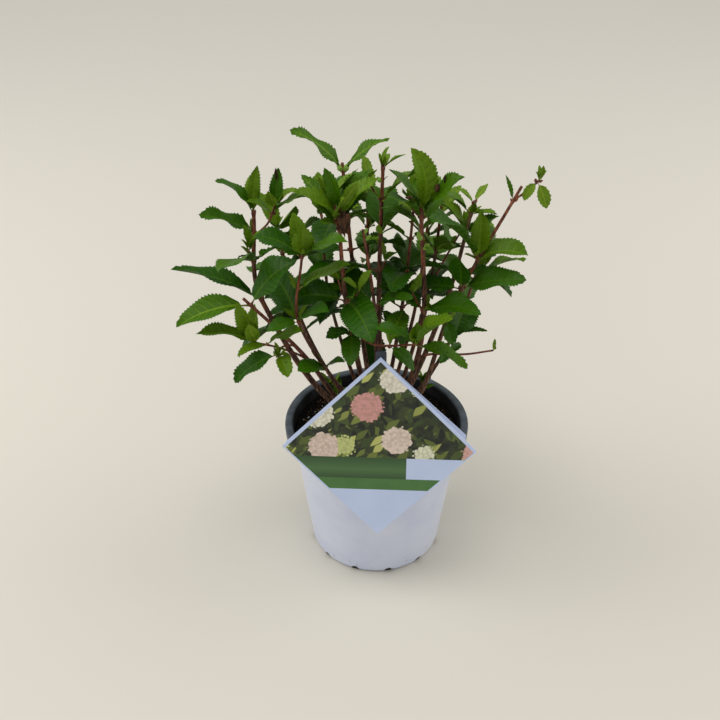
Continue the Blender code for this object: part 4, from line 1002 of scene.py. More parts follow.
def garden_print():
    """A plain scatter of round flower heads in cream and pink over pointed leaves, printed on the card."""
    finish = Finish("garden_print", (40, 52, 30), 0.34)

    def within(value, edge, soft):
        """1 below the edge and 0 above it."""
        return finish.between(value, edge - soft, edge + soft, 1.0, 0.0)

    def dealt(cells, channel):
        """A value of its own for each cell."""
        return finish.node("ShaderNodeSeparateColor", {"Color": cells["Color"]}).outputs[channel]

    whole = finish.ramp(finish.noise(120.0, 4.0), [(0.4, (22, 27, 22)), (0.6, (50, 60, 34))])
    for turn, scale, greens in PRINTED_LEAVES:
        turned = finish.node("ShaderNodeMapping", {"Vector": finish.place, "Rotation": (0.0, turn, 0.0)})
        sockets = {"Vector": finish.drawn(turned.outputs["Vector"], 0.42), "Scale": scale, "Exponent": 1.2}
        leaves = finish.cells(sockets, distance="MINKOWSKI")
        green = finish.ramp(dealt(leaves, "Green"), greens)
        whole = finish.over(whole, green, within(leaves["Distance"], 0.5, 0.04))
    heads = finish.cells({"Scale": 32.0, "Randomness": 0.7})
    florets = finish.cells({"Scale": 360.0})["Distance"]
    ragged = finish.reckon("ADD", heads["Distance"], finish.reckon("MULTIPLY", florets, 0.12))
    shade = finish.ramp(florets, [(0.3, (0, 0, 0)), (0.8, (160, 160, 160))])
    petals = finish.over(finish.ramp(dealt(heads, "Red"), PRINTED_HEADS), display(118, 112, 70), shade)
    finish.colour(finish.over(whole, petals, within(ragged, 0.5, 0.012)))
    finish.grain(*CARD_GRAIN)
    return finish.material


def band_finish():
    """The dark green band, a little lighter towards its middle."""
    finish = Finish("band_green", (52, 84, 50), 0.36)
    middle = CARD_CENTRE.z + (PICTURE_FOOT + BAND_FOOT) / 2
    share = finish.between(finish.height(), middle - 9 * MM, middle + 9 * MM)
    finish.colour(finish.ramp(share, [(0.0, (48, 78, 46)), (0.45, (74, 108, 64)), (1.0, (50, 82, 48))]))
    finish.gloss(finish.noise(60.0, 3.0), 0.3, 0.42)
    finish.grain(*CARD_GRAIN)
    return finish.material


# ---------------------------------------------------------------- pieces

def add_object(name, data):
    """An object at the origin that shows this data."""
    obj = bpy.data.objects.new(name, data)
    bpy.context.scene.collection.objects.link(obj)
    return obj


def mesh_piece(name, verts, faces, finishes, kinds=None, sharp=50):
    """An object from points, faces and each face's finish, smooth but for edges sharper than an angle."""
    mesh = bpy.data.meshes.new(name)
    mesh.from_pydata([tuple(v) for v in verts], [], faces)
    for finish in finishes:
        mesh.materials.append(finish)
    if kinds is not None:
        mesh.polygons.foreach_set("material_index", kinds)
    mesh.shade_smooth()
    mesh.set_sharp_from_angle(angle=math.radians(sharp))
    mesh.update()
    return add_object(name, mesh)


def line_piece(name, points, edges, **values):
    """An object of bare points and edges, with a number or a direction for each point under each name."""
    mesh = bpy.data.meshes.new(name)
    mesh.from_pydata([tuple(p) for p in points], edges, [])
    for label, given in values.items():
        if isinstance(given[0], Vector):
            made = mesh.attributes.new(label, "FLOAT_VECTOR", "POINT")
            made.data.foreach_set("vector", [c for v in given for c in v])
        else:
            mesh.attributes.new(label, "FLOAT", "POINT").data.foreach_set("value", given)
    return add_object(name, mesh)


def join_on(verts, faces, more_verts, more_faces):
    """Adds another closed shell's points and faces."""
    first = len(verts)
    verts.extend(more_verts)
    faces.extend(tuple(first + i for i in face) for face in more_faces)


def plain_mesh(obj):
    """Makes the object's evaluated shape its own mesh, and takes its modifiers off."""
    bpy.context.view_layer.update()
    graph = bpy.context.evaluated_depsgraph_get()
    mesh = bpy.data.meshes.new_from_object(obj.evaluated_get(graph))
    while None in list(mesh.materials):
        mesh.materials.pop(index=list(mesh.materials).index(None))
    obj.modifiers.clear()
    obj.data = mesh
    return obj


def put_on(obj, slot, *nodes):
    """The finished piece rides on the part's one body and stands for these nodes."""
    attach(obj, "root")
    if nodes:
        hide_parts(*nodes)


class Tree(Nodes):
    """A Geometry Nodes tree with named inputs, one geometry in and one out."""

    def __init__(self, name, inputs):
        self.tree = bpy.data.node_groups.new(name, "GeometryNodeTree")
        face = self.tree.interface
        face.new_socket("Geometry", in_out="INPUT", socket_type="NodeSocketGeometry")
        face.new_socket("Geometry", in_out="OUTPUT", socket_type="NodeSocketGeometry")
        self.ids = {}
        for label, kind in inputs:
            made = face.new_socket(label, in_out="INPUT", socket_type="NodeSocket" + kind)
            self.ids[label] = made.identifier
        self.start = self.tree.nodes.new("NodeGroupInput")
        self.end = self.tree.nodes.new("NodeGroupOutput")

    def attribute(self, name, kind="FLOAT"):
        """What the points carry under a name."""
        named = self.node("GeometryNodeInputNamedAttribute", {"Name": name}, data_type=kind)
        return named.outputs["Attribute"]

    def given(self, label):
        """One of the tree's inputs."""
        return self.start.outputs[label]

    def close(self, geometry):
        """Ends the tree with this geometry."""
        self.tree.links.new(geometry, self.end.inputs["Geometry"])

    def place_on(self, points, thing, turn, size):
        """Ends the tree with the thing on every point, made real and given the tree's finish."""
        shape = self.node("GeometryNodeObjectInfo", {"Object": self.given(thing)})
        placed = self.node("GeometryNodeInstanceOnPoints", {
            "Points": points, "Instance": shape.outputs["Geometry"], "Rotation": turn, "Scale": size})
        real = self.node("GeometryNodeRealizeInstances", {"Geometry": placed.outputs["Instances"]})
        done = self.node("GeometryNodeSetMaterial", {
            "Geometry": real.outputs["Geometry"], "Material": self.given("Finish")})
        self.close(done.outputs["Geometry"])

    def run(self, obj, values):
        """The tree's result on the object, with its inputs set, as a plain mesh."""
        modifier = obj.modifiers.new(self.tree.name, "NODES")
        modifier.node_group = self.tree
        for label, value in values.items():
            modifier[self.ids[label]] = value
        return plain_mesh(obj)


# ---------------------------------------------------------------- blades

class Blades:
    """The blades of one mass, gathered as points, faces and each face's finish."""

    def __init__(self, finishes):
        self.finishes = finishes
        self.names = []
        self.verts = []
        self.faces = []
        self.kinds = []

    def kind(self, name):
        """A finish's number in this mass."""
        if name not in self.names:
            self.names.append(name)
        return self.names.index(name)

    def piece(self, name):
        """The blades as one object."""
        slots = [self.finishes[n] for n in self.names]
        return mesh_piece(name, self.verts, self.faces, slots, self.kinds, sharp=70)


def blade_greens(leaf, rng):
    """Finishes of a leaf of this age: its upper side's tissue and veins, then its underside's."""
    # painted light: the higher the leaf, the paler the green it gets, standing in for the brighter light on the
    # crown's top
    high = min(max((leaf.root.z - PAINTED_LIGHT_FROM) / (PAINTED_LIGHT_TO - PAINTED_LIGHT_FROM), 0), 1)
    ripe = leaf.age + rng.uniform(-0.14, 0.14) - 0.2 * high
    least = 0.56 - 0.36 * max(math.sin(leaf.rise), 0) if leaf.length > OLD_LENGTH else 0
    ripe = min(max(ripe, least), 0.999)
    blade = BLADES[len(BLADES) - 1 - int(ripe * len(BLADES))][0]
    tone = 2 if ripe < YOUNG_BELOW else 1 if ripe < FRESH_BELOW else 0
    return (blade, VEINS[tone][0]), (BACKS[tone][0], BACK_VEINS[tone][0])


def blade_width(leaf, u):
    """Half the detailed blade's width: rounder than its solid, with a short drawn-out tip."""
    base = 0.58
    point = 0.7
    peak = base / (base + point)
    most = peak ** base * (1 - peak) ** point
    drawn = min(max((u - 0.84) / 0.16, 0), 1)
    u = min(max(u, 0), 1)
    return leaf.length * leaf.width / 2 * u ** base * (1 - u) ** point / most * (1 - 0.4 * drawn)


def blade_stations(count):
    """Where each crest and each side vein leaves the midrib and meets the margin, from base to tip."""
    ribs = [0.05 + 0.76 * k / (count - 1) for k in range(count)]
    veins = [(rib, min(rib + 0.17 * (1 - rib) ** 0.8 + 0.03, 0.95)) for rib in ribs]
    crests = [(0.014, 0.09)]
    crests += [((a[0] + b[0]) / 2, (a[1] + b[1]) / 2) for a, b in zip(veins, veins[1:])]
    crests.append((0.9, 0.965))
    stations = []
    for k, vein in enumerate(veins):
        stations += [("crest", *crests[k]), ("vein", *vein)]
    return stations + [("crest", *crests[-1])]


def add_blade(blades, leaf, rng):
    """One toothed, veined and slightly quilted blade, closed, with its midrib proud below."""
    upper, lower = blade_greens(leaf, rng)
    young = max(0.0, 1 - leaf.age / 0.4)
    fold = LEAF_FOLD + YOUNG_FOLD * young + math.radians(rng.uniform(-9, 9))
    wave = leaf.length * rng.uniform(0.02, 0.07) * (1 - 0.7 * young)
    twist = rng.uniform(-0.3, 0.3) * (1 - young)
    sway = leaf.length * rng.uniform(-0.035, 0.035)
    phase = rng.uniform(0, math.tau)
    stations = blade_stations(min(max(round(leaf.length / VEIN_PITCH), 3), MOST_VEINS))
    scale = leaf.length / LARGE_LEAF
    verts = blades.verts
    below = {}

    def spot(u, share, lift=0.0, depth=0.0):
        """A point of the upper side, and the one below it unless the two sides meet there."""
        point, side, up = leaf_point(leaf, u)
        turn = twist * u * u
        across = side * math.cos(turn) + up * math.sin(turn)
        above = up * math.cos(turn) - side * math.sin(turn)
        wide = blade_width(leaf, u)
        far = abs(share)
        high = wide * math.sin(fold) * (1.4 * far - 0.4 * far * far) + lift
        high += wave * far * far * math.sin(phase + 10 * u + (2.1 if share > 0 else 0))
        point = point + side * (sway * math.sin(math.pi * u)) + across * (share * wide * math.cos(fold))
        verts.append(point + above * high)
        index = len(verts) - 1
        below[index] = index
        if depth:
            verts.append(point + above * (high - depth))
            below[index] = index + 1
        return index

    def notch(u):
        """The share of the half width where a notch between two teeth lies."""
        return max(1 - TOOTH_DEPTH * math.sqrt(scale) / max(blade_width(leaf, u), MM), SHALLOW)

    def rib_share(u):
        """The share of the half width that the midrib takes."""
        wide = max(blade_width(leaf, u), 0.2 * MM)
        return min(RIB_WIDTH * scale * (1.1 - u) / wide, 0.4)

    def face(half, ring, part):
        """A face of one half's upper side and the one below it, of the tissue or of a vein."""
        ring = tuple(ring) if half > 0 else tuple(reversed(ring))
        blades.faces.extend((ring, tuple(below[i] for i in reversed(ring))))
        blades.kinds.extend((blades.kind(upper[part]), blades.kind(lower[part])))

    base = spot(0.0, 0.0, -0.1 * MM)
    tip = spot(1.0, 0.0)
    halves = {1: [], -1: []}
    for kind, rib, margin in stations:
        middle_u = rib + (margin - rib) * 0.45
        slit = VEIN_WIDTH / 2 / leaf.length * min(scale, 1)
        proud = (0.95 - 0.7 * rib) * MM * scale
        thin = 0.3 * MM * scale
        for half in (1, -1):
            edge = spot(margin, half * notch(margin))
            share = half * rib_share(rib)
            if kind == "crest":
                inner = (spot(rib, share, 0.0, proud),)
                middle = (spot(middle_u, half * MIDWAY, QUILT * scale * (1 - 0.5 * rib), thin),)
            else:
                inner = tuple(spot(rib + d, share, 0.0, proud) for d in (-slit, slit))
                middle = tuple(spot(middle_u + 0.7 * d, half * MIDWAY, -0.1 * MM * scale, thin)
                               for d in (-slit, slit))
            halves[half].append((inner, middle, edge, margin))
    for half, rows in halves.items():
        inner, middle, edge, margin = rows[0]
        face(half, (base, inner[0], middle[0]), TISSUE)
        face(half, (base, middle[0], edge), TISSUE)
        for (inner, middle, edge, margin), (inner_b, middle_b, edge_b, margin_b) in zip(rows, rows[1:]):
            if len(inner) == 2:
                face(half, (inner[0], inner[1], middle[1], middle[0]), VEIN)
                face(half, (middle[0], middle[1], edge), VEIN)
            tooth = spot(margin + (margin_b - margin) * TOOTH_LEAN, half * 1.03)
            face(half, (inner[-1], inner_b[0], middle_b[0], middle[-1]), TISSUE)
            face(half, (middle[-1], middle_b[0], edge_b, tooth, edge), TISSUE)
        inner, middle, edge, margin = rows[-1]
        face(half, (inner[0], tip, middle[0]), TISSUE)
        face(half, (middle[0], tip, edge), TISSUE)
    face(1, (base, halves[-1][0][0][0], halves[1][0][0][0]), VEIN)
    for k in range(0, len(stations) - 1, 2):
        ring = []
        for row in halves[-1][k:k + 3]:
            ring += row[0]
        for row in reversed(halves[1][k:k + 3]):
            ring += row[0][::-1]
        face(1, ring, VEIN)
    face(1, (halves[-1][-1][0][0], tip, halves[1][-1][0][0]), VEIN)


# ---------------------------------------------------------------- stems, stalks and buds

class Limbs:
    """Lines with a radius and an age at each point, which one tree of nodes turns into bark."""

    def __init__(self):
        self.points = []
        self.edges = []
        self.radii = []
        self.ages = []

    def add(self, points, radii, ages):
        """Adds one line, from its foot to its tip."""
        first = len(self.points)
        self.points += points
        self.radii += radii
        self.ages += ages
        self.edges += [(first + k, first + k + 1) for k in range(len(points) - 1)]

    def piece(self, name):
        """The lines as one object, ready for the tree."""
        return line_piece(name, self.points, self.edges, girth=self.radii, age=self.ages)


def limb_tree():
    """Tubes round the lines, roughened by a noise, with a finish for each of three ages."""
    make = Tree("limb_bark", [("Facets", "Int"), ("Relief", "Float"), ("Grain", "Float"),
                              ("Old From", "Float"), ("Brown From", "Float"),
                              ("Old", "Material"), ("Brown", "Material"), ("Young", "Material")])
    age = make.attribute("age")
    line = make.node("GeometryNodeMeshToCurve", {"Mesh": make.given("Geometry")})
    ring = make.node("GeometryNodeCurvePrimitiveCircle", {"Resolution": make.given("Facets"), "Radius": 1.0})
    tube = make.node("GeometryNodeCurveToMesh", {
        "Curve": line.outputs["Curve"], "Profile Curve": ring.outputs["Curve"],
        "Scale": make.attribute("girth"), "Fill Caps": True})
    place = make.node("GeometryNodeInputPosition").outputs["Position"]
    drawn = make.node("ShaderNodeVectorMath", {0: place, 1: (1.0, 1.0, 0.25)}, operation="MULTIPLY")
    grain = make.node("ShaderNodeTexNoise", {"Vector": drawn.outputs["Vector"], "Scale": make.given("Grain")})
    centred = make.reckon("SUBTRACT", grain.outputs[0], 0.5)
    height = make.reckon("MULTIPLY", make.reckon("MULTIPLY", centred, age), make.given("Relief"))
    normal = make.node("GeometryNodeInputNormal").outputs["Normal"]
    push = make.node("ShaderNodeVectorMath", {0: normal, "Scale": height}, operation="SCALE")
    barked = make.node("GeometryNodeSetPosition", {
        "Geometry": tube.outputs["Mesh"], "Offset": push.outputs["Vector"]})
    smooth = make.node("GeometryNodeSetShadeSmooth", {0: barked.outputs["Geometry"]})
    result = make.node("GeometryNodeRealizeInstances", {"Geometry": smooth.outputs[0]}).outputs["Geometry"]
    result = make.node("GeometryNodeSetMaterial", {
        "Geometry": result, "Material": make.given("Young")}).outputs["Geometry"]
    for label in ("Brown", "Old"):
        older = make.node("FunctionNodeCompare", {0: age, 1: make.given(label + " From")},
                          operation="GREATER_THAN")
        result = make.node("GeometryNodeSetMaterial", {
            "Geometry": result, "Selection": older.outputs[0],
            "Material": make.given(label)}).outputs["Geometry"]
    make.close(result)
    return make


def stem_limb(limbs, line, foot, end, nodes, age_top, age_foot):
    """A stem that narrows to its tip and swells at its leaf nodes."""
    whole = line_length(line)
    count = max(int(whole / RING_STEP), 4)
    points = stretch(line, whole, 0, count)
    radii = []
    ages = []
    for k in range(count):
        below = whole * (1 - k / (count - 1))
        radius = foot + (end - foot) * k / (count - 1)
        swell = sum(math.exp(-((below - n * CM) / NODE_SPREAD) ** 2) for n in nodes)
        radii.append(radius * (1 + NODE_SWELL * min(swell, 1)))
        mottle = AGE_MOTTLE * math.sin(below * 90 + foot * 9000)
        ages.append(age_top + (age_foot - age_top) * min(below / OLD_BELOW, 1) + mottle)
    limbs.add(points, radii, ages)


def all_limbs(masses, lines):
    """Every stem from the root crown to its tip, every branch and every twig."""
    limbs = Limbs()
    for shoot in SHOOTS:
        foot = shoot.girth * MM
        top_age = OLD_AGE if shoot.name in WOODY else TOP_AGE
        stem_limb(limbs, lines[shoot.name], foot, end_radius(foot), shoot.nodes, top_age, OLD_AGE)
    for branch in BRANCHES:
        stem_limb(limbs, lines[branch.name], branch.girth * MM, BRANCH_END, branch.nodes, *BRANCH_AGES)
    for mass in masses:
        forks = sum(branch.parent == mass.name for branch in BRANCHES)
        for twig in mass.twigs[forks:]:
            limbs.add(list(twig.points), list(twig.radii), list(TWIG_AGES))
    for name, *ends in DRY_FORKS:
        tip = lines[name][-1]
        for end in ends:
            reach = Vector(end) * CM
            limbs.add([tip - reach * 0.05, tip + reach * 0.5 + Vector((0, 0, 0.4 * MM)), tip + reach],
                      [0.8 * MM, 0.55 * MM, 0.4 * MM], [0.5, 0.6, 0.7])
    return limbs


def all_stalks(leaves):
    """The stalk of every leaf, thick where it clasps its stem."""
    limbs = Limbs()
    for leaf in leaves:
        thick = max(leaf.length / LARGE_LEAF, 0.35)
        points = [leaf_point(leaf, u)[0] for u in STALK_PLACES]
        points[-1] = points[-1] - leaf_point(leaf, 0.05)[2] * 0.35 * MM
        points[-2] = points[-2] - leaf_point(leaf, 0.0)[2] * 0.2 * MM
        limbs.add(points, [radius * MM * thick for radius in STALK_RADII],
                  [0.2 + 0.6 * leaf.age * (1 - 0.25 * k) for k in range(5)])
    return limbs


def bud_tree():
    """A bud on each point, turned to its direction and sized by its attribute."""
    make = Tree("buds_on_nodes", [("Bud", "Object"), ("Finish", "Material")])
    points = make.node("GeometryNodeMeshToPoints", {"Mesh": make.given("Geometry")})
    turn = make.node("FunctionNodeAlignRotationToVector", {
        "Vector": make.attribute("aim", "FLOAT_VECTOR")}, axis="Z")
    make.place_on(points.outputs["Points"], "Bud", turn.outputs["Rotation"], make.attribute("size"))
    return make


def bud_shape():
    """A pointed six-sided bud with one step where its outer scales end, 1 long, along +Z."""
    profile = ((0.0, 0.18), (0.2, 0.34), (0.5, 0.36), (0.54, 0.29), (0.8, 0.2))
    rings = [[Vector((r * math.cos(math.tau * s / 6), r * math.sin(math.tau * s / 6), z)) for s in range(6)]
             for z, r in profile]
    verts, faces = loft(rings, Vector((0, 0, 1)))
    return mesh_piece("bud_shape", verts, faces, [])


def pale_buds(lines):
    """Roots, headings and sizes of the pale buds."""
    made = []
    for name, below, azimuth, rise, length in PALE_BUDS:
        root = point_below_tip(lines[name], below * CM)[0]
        aim = heading_vector(math.radians(azimuth), math.radians(rise))
        made.append((root + heading_vector(math.radians(azimuth), 0) * 0.9 * MM, aim, length * MM))
    return made


def put_buds(tree, name, buds, finish, slot):
    """Buds of one finish, each on its node."""
    shape = bud_shape()
    roots, aims, sizes = zip(*buds)
    piece = line_piece(name, roots, [], aim=aims, size=sizes)
    put_on(tree.run(piece, {"Bud": shape, "Finish": finish}), slot)
    bpy.data.objects.remove(shape, do_unlink=True)


def make_withered(finish):
    """Crumpled dry remnants, each narrower towards its foot."""
    verts = []
    faces = []
    for centre, half in WITHERED:
        work = bmesh.new()
        bmesh.ops.create_icosphere(work, subdivisions=4, radius=1.0)
        middle = Vector(centre)
        lump = []
        for vert in work.verts:
            spot = vert.co
            crumple = 1 + 0.5 * noise.noise(spot * 2.6 + middle) + 0.3 * noise.noise(spot * 6 - middle)
            narrow = 0.72 + 0.28 * spot.z
            reach = Vector((spot.x * half[0] * narrow, spot.y * half[1] * narrow, spot.z * half[2]))
            lump.append(middle * CM + reach * MM * crumple)
        join_on(verts, faces, lump, [[vert.index for vert in face.verts] for face in work.faces])
        work.free()
    return mesh_piece("withered_bits", verts, faces, [finish], sharp=80)


def small_leaf(root, azimuth, rise, length, age, rng):
    """A young leaf of a shoot's tip or an axil, a little different each time."""
    return Leaf(root, azimuth, rise, math.radians(rng.uniform(4, 26)), length, rng.uniform(0.42, 0.52),
                rng.uniform(-0.2, 0.2), age)


def finer_growth(masses, lines):
    """The folded leaves of the shoot tips and axils, and the buds of the bare axils."""
    rng = random.Random(FINE_SEED)
    buds = []
    extra = {mass.name: [] for mass in masses}
    for carrier in SHOOTS + BRANCHES:
        home = getattr(carrier, "parent", carrier.name)
        line = lines[carrier.name]
        turn = math.radians(carrier.turn)
        if not carrier.stub and carrier.name not in CUT_TIPS:
            for k, size in enumerate(TIP_LEAVES):
                for side in (0, math.pi):
                    azimuth = turn + math.pi / 2 * (k + 1) + side + rng.uniform(-0.3, 0.3)
                    extra[home].append(small_leaf(line[-1], azimuth, math.radians(rng.uniform(56, 84)),
                                                  size * MM * rng.uniform(0.8, 1.15), 0.02, rng))
        for order, below in enumerate(carrier.nodes):
            root, along = point_below_tip(line, below * CM)
            for side in (0, math.pi):
                azimuth = turn + math.pi / 2 * order + side
                out = heading_vector(azimuth, 0)
                if order and rng.random() < AXIL_LEAF_SHARE:
                    for k in (-1, 1):
                        extra[home].append(small_leaf(root + out * MM, azimuth + k * rng.uniform(0.5, 1.2),
                                                      math.radians(rng.uniform(40, 74)),
                                                      rng.uniform(9, 17) * MM, rng.uniform(0.05, 0.3), rng))
                else:
                    buds.append((root + out * BUD_OUT * MM, (out + along * 1.3).normalized(),
                                 BUD_LENGTH * rng.uniform(0.7, 1.15)))
    for name, below, azimuth, rise, length, age in SMALL_LEAVES:
        root = point_below_tip(lines[name], below * CM)[0]
        extra[name].append(small_leaf(root, math.radians(azimuth), math.radians(rise), length * MM, age, rng))
    for mass in masses:
        for twig in mass.twigs:
            heading = (twig.points[-1] - twig.points[0]).normalized()
            turn = math.atan2(heading.y, heading.x)
            for k in (-1, 1):
                extra[mass.name].append(small_leaf(twig.points[-1], turn + k * 1.4, math.radians(66),
                                                   rng.uniform(7, 11) * MM, 0.0, rng))
    return extra, buds


# ---------------------------------------------------------------- the pot and what stands in it

def turned_mesh(profile, sides):
    """A closed solid of revolution, with one point at each end of the profile."""
    verts = []
    rows = []
    turns = [math.tau * s / sides for s in range(sides)]
    for radius, height in profile:
        if radius == 0:
            rows.append([len(verts)] * sides)
            verts.append(Vector((0, 0, height)))
            continue
        rows.append(list(range(len(verts), len(verts) + sides)))
        verts += [Vector((radius * math.cos(turn), radius * math.sin(turn), height)) for turn in turns]
    faces = []
    for low, high in zip(rows, rows[1:]):
        for s in range(sides):
            t = (s + 1) % sides
            ring = []
            for index in (low[s], low[t], high[t], high[s]):
                if index not in ring:
                    ring.append(index)
            faces.append(tuple(ring))
    return verts, faces


def notch_height(angle):
    """How far the foot's underside is scalloped up at an angle."""
    off = abs(math.remainder(angle - NOTCH_TURN + math.pi / 2, math.tau / NOTCHES)) * WALL_FOOT_RADIUS
    return NOTCH_HIGH * math.sqrt(max(1 - (off / NOTCH_HALF) ** 2, 0))


def rounded(corner, before, after, radius):
    """Four points that round a corner of a profile off."""
    a = Vector(before) - Vector(corner)
    b = Vector(after) - Vector(corner)
    reach = min(radius, a.length * 0.45, b.length * 0.45)
    start = Vector(corner) + a.normalized() * reach
    end = Vector(corner) + b.normalized() * reach
    return [tuple(start * (1 - t) ** 2 + Vector(corner) * 2 * t * (1 - t) + end * t * t)
            for t in (0, 1 / 3, 2 / 3, 1)]


def scallop_foot(verts):
    """Cuts the notches into the pot's foot, each with a slanted back, and tells which points were lifted."""
    lifted = set()
    for k, vert in enumerate(verts):
        radius = math.hypot(vert.x, vert.y)
        arch = notch_height(math.atan2(vert.y, vert.x))
        out = 1.0
        if vert.z == 0 and abs(radius - NOTCH_EDGE) < 0.1 * MM and arch > 0:
            out = (WALL_FOOT_RADIUS - 2 * NOTCH_DEEP) / NOTCH_EDGE
        elif vert.z < FLOOR - MM / 4 and radius > NOTCH_BACK - 0.1 * MM and arch > vert.z:
            vert.z = arch
            lifted.add(k)
            out = max((wall_radius(max(arch, FOOT_ROUND)) - NOTCH_DEEP) / radius, 1)
        vert.x *= out
        vert.y *= out
    return lifted


def make_pot_shell(white, slate, inner):
    """The white pot with its slate lip, its inside and the backs of its foot's notches painted near black as
    painted shade, and its scalloped foot.
    """
    top = POT_HEIGHT
    inside = RIM_RADIUS - LIP_WIDTH
    skirt = RIM_RADIUS - LIP_TAPER
    corners = [
        ((0, 0), 0), ((WALL_FOOT_RADIUS - FOOT_ROUND, 0), 0.6),
        ((WALL_FOOT_RADIUS - 1.2 * MM, 1.2 * MM), 1.2),
        ((wall_radius(FOOT_ROUND), FOOT_ROUND), 1.5), ((wall_radius(top - LIP_DEPTH), top - LIP_DEPTH), 0),
        ((wall_radius(top - LIP_THICK), top - LIP_THICK), 0.5), ((skirt - WALL, top - LIP_THICK), 0.5),
        ((skirt - WALL, top - LIP_DEPTH), 0.3), ((skirt, top - LIP_DEPTH), 0.4),
        ((RIM_RADIUS, top), 1.9), ((inside, top), 1.9),
        ((wall_radius(top - LIP_DEPTH) - WALL, top - LIP_DEPTH - 2 * MM), 1.5),
        ((WALL_FOOT_RADIUS - WALL, FLOOR + FLOOR_EDGE), 2.0), ((WALL_FOOT_RADIUS - FLOOR_EDGE, FLOOR), 2.0),
        ((0, FLOOR), 0),
    ]
    profile = []
    for k, (corner, radius) in enumerate(corners):
        if radius:
            profile += rounded(corner, corners[k - 1][0], corners[k + 1][0], radius * MM)
        else:
            profile.append(corner)
    foot = [(r, 0.0) for r in (30 * MM, 50 * MM, NOTCH_EDGE, NOTCH_BACK)]
    wall_top = next(k for k, p in enumerate(profile) if p[1] > 20 * MM)
    low, high = profile[wall_top - 1], profile[wall_top]
    shares = [0.008, 0.02, 0.04] + [k / 12 for k in range(1, 12)]
    wall = [(low[0] + (high[0] - low[0]) * t, low[1] + (high[1] - low[1]) * t) for t in shares]
    profile = profile[:1] + foot + profile[1:wall_top] + wall + profile[wall_top:]
    verts, faces = turned_mesh(profile, POT_FACETS)
    lifted = scallop_foot(verts)
    wall_end = wall_radius(top - LIP_DEPTH) + 0.5 * MM
    kinds = []
    for ring in faces:
        centre = sum((verts[i] for i in ring), Vector()) / len(ring)
        radius = math.hypot(centre.x, centre.y)
        outer = radius > wall_radius(max(centre.z, FOOT_ROUND)) - 0.3 * MM or centre.z < FLOOR - 2 * MM
        # painted shade: the notches' backs, and further down the inside below the rim, take the near black
        # finish
        if sum(i in lifted for i in ring) > 1 and radius < wall_radius(FOOT_ROUND) - NOTCH_DEEP / 2:
            kinds.append(PAINTED_SHADE)
        elif outer and centre.z < top - LIP_DEPTH + 0.2 * MM and radius < wall_end:
            kinds.append(WHITE)
        else:
            kinds.append(PAINTED_SHADE if radius < inside - 0.3 * MM and centre.z < top - 2 * MM else SLATE)
    return mesh_piece("pot_shell", verts, faces, [white, slate, inner], kinds, sharp=38)


def mix_height(x, y):
    """The crumbly top of the potting mix."""
    spot = Vector((x, y, SOIL_LEVEL))
    lump = noise.noise(spot * 190) * 1.5 + noise.noise(spot * 420) * 0.8
    off = SOIL_EDGE - math.hypot(x, y)
    bank = max(1 - off / BANK_WIDTH, 0) ** 1.5 * BANK
    return soil_height(x, y) + bank + lump * MM * min(off / (3 * MM), 1)


def mix_top(edge, rings):
    """The profile of the mix's level top, from its middle to its edge."""
    return [(edge * k / rings, SOIL_LEVEL) for k in range(rings + 1)]


def make_mix(finish):
    """The potting mix: a lumpy top, and a body that fills the pot down to its floor."""
    profile = mix_top(SOIL_EDGE, MIX_RINGS) + [
        (WALL_FOOT_RADIUS - WALL - GAP, FLOOR + FLOOR_EDGE + GAP),
        (WALL_FOOT_RADIUS - FLOOR_EDGE - GAP, FLOOR + GAP), (0, FLOOR + GAP),
    ]
    verts, faces = turned_mesh(profile[::-1], MIX_FACETS)
    for vert in verts:
        if vert.z > SOIL_LEVEL - MM:
            vert.z = mix_height(vert.x, vert.y)
    return mesh_piece("mix_body", verts, faces, [finish], sharp=60)


def chip_shape(seed):
    """An irregular chip, about 1 long."""
    rng = random.Random(seed)
    work = bmesh.new()
    bmesh.ops.create_icosphere(work, subdivisions=1, radius=0.5)
    for vert in work.verts:
        vert.co = Vector((vert.co.x, vert.co.y * 0.5, vert.co.z * 0.3)) * rng.uniform(0.75, 1.2)
    mesh = bpy.data.meshes.new("chip_shape")
    work.to_mesh(mesh)
    work.free()
    mesh.shade_flat()
    return add_object("chip_shape", mesh)


def scatter_tree():
    """Chips strewn over a surface, each turned and sized at random from a fixed seed."""
    make = Tree("strewn_chips", [("Chip", "Object"), ("Density", "Float"), ("Size", "Float"),
                                 ("Seed", "Int"), ("Finish", "Material")])
    seed = make.given("Seed")
    points = make.node("GeometryNodeDistributePointsOnFaces", {
        "Mesh": make.given("Geometry"), "Density": make.given("Density"), "Seed": seed})
    turn = make.node("FunctionNodeRandomValue", {1: (math.tau, 0.9, math.tau), "Seed": seed},
                     data_type="FLOAT_VECTOR")
    size = make.node("FunctionNodeRandomValue", {2: 0.35, 3: 1.25, "Seed": seed}, data_type="FLOAT")
    scaled = make.reckon("MULTIPLY", size.outputs[1], make.given("Size"))
    make.place_on(points.outputs["Points"], "Chip", turn.outputs[0], scaled)
    return make


def strew(tree, name, seed, density, size, finish):
    """Chips of one kind over the potting mix, in the pot's mouth."""
    chip = chip_shape(seed)
    verts, faces = turned_mesh(mix_top(BED_EDGE, BED_RINGS)[::-1], BED_FACETS)
    for vert in verts:
        vert.z = mix_height(vert.x, vert.y) + CHIP_LIFT
    bed = mesh_piece(name, verts, faces, [])
    chips = tree.run(bed, {"Chip": chip, "Density": density, "Size": size, "Seed": seed, "Finish": finish})
    bpy.data.objects.remove(chip, do_unlink=True)
    return chips


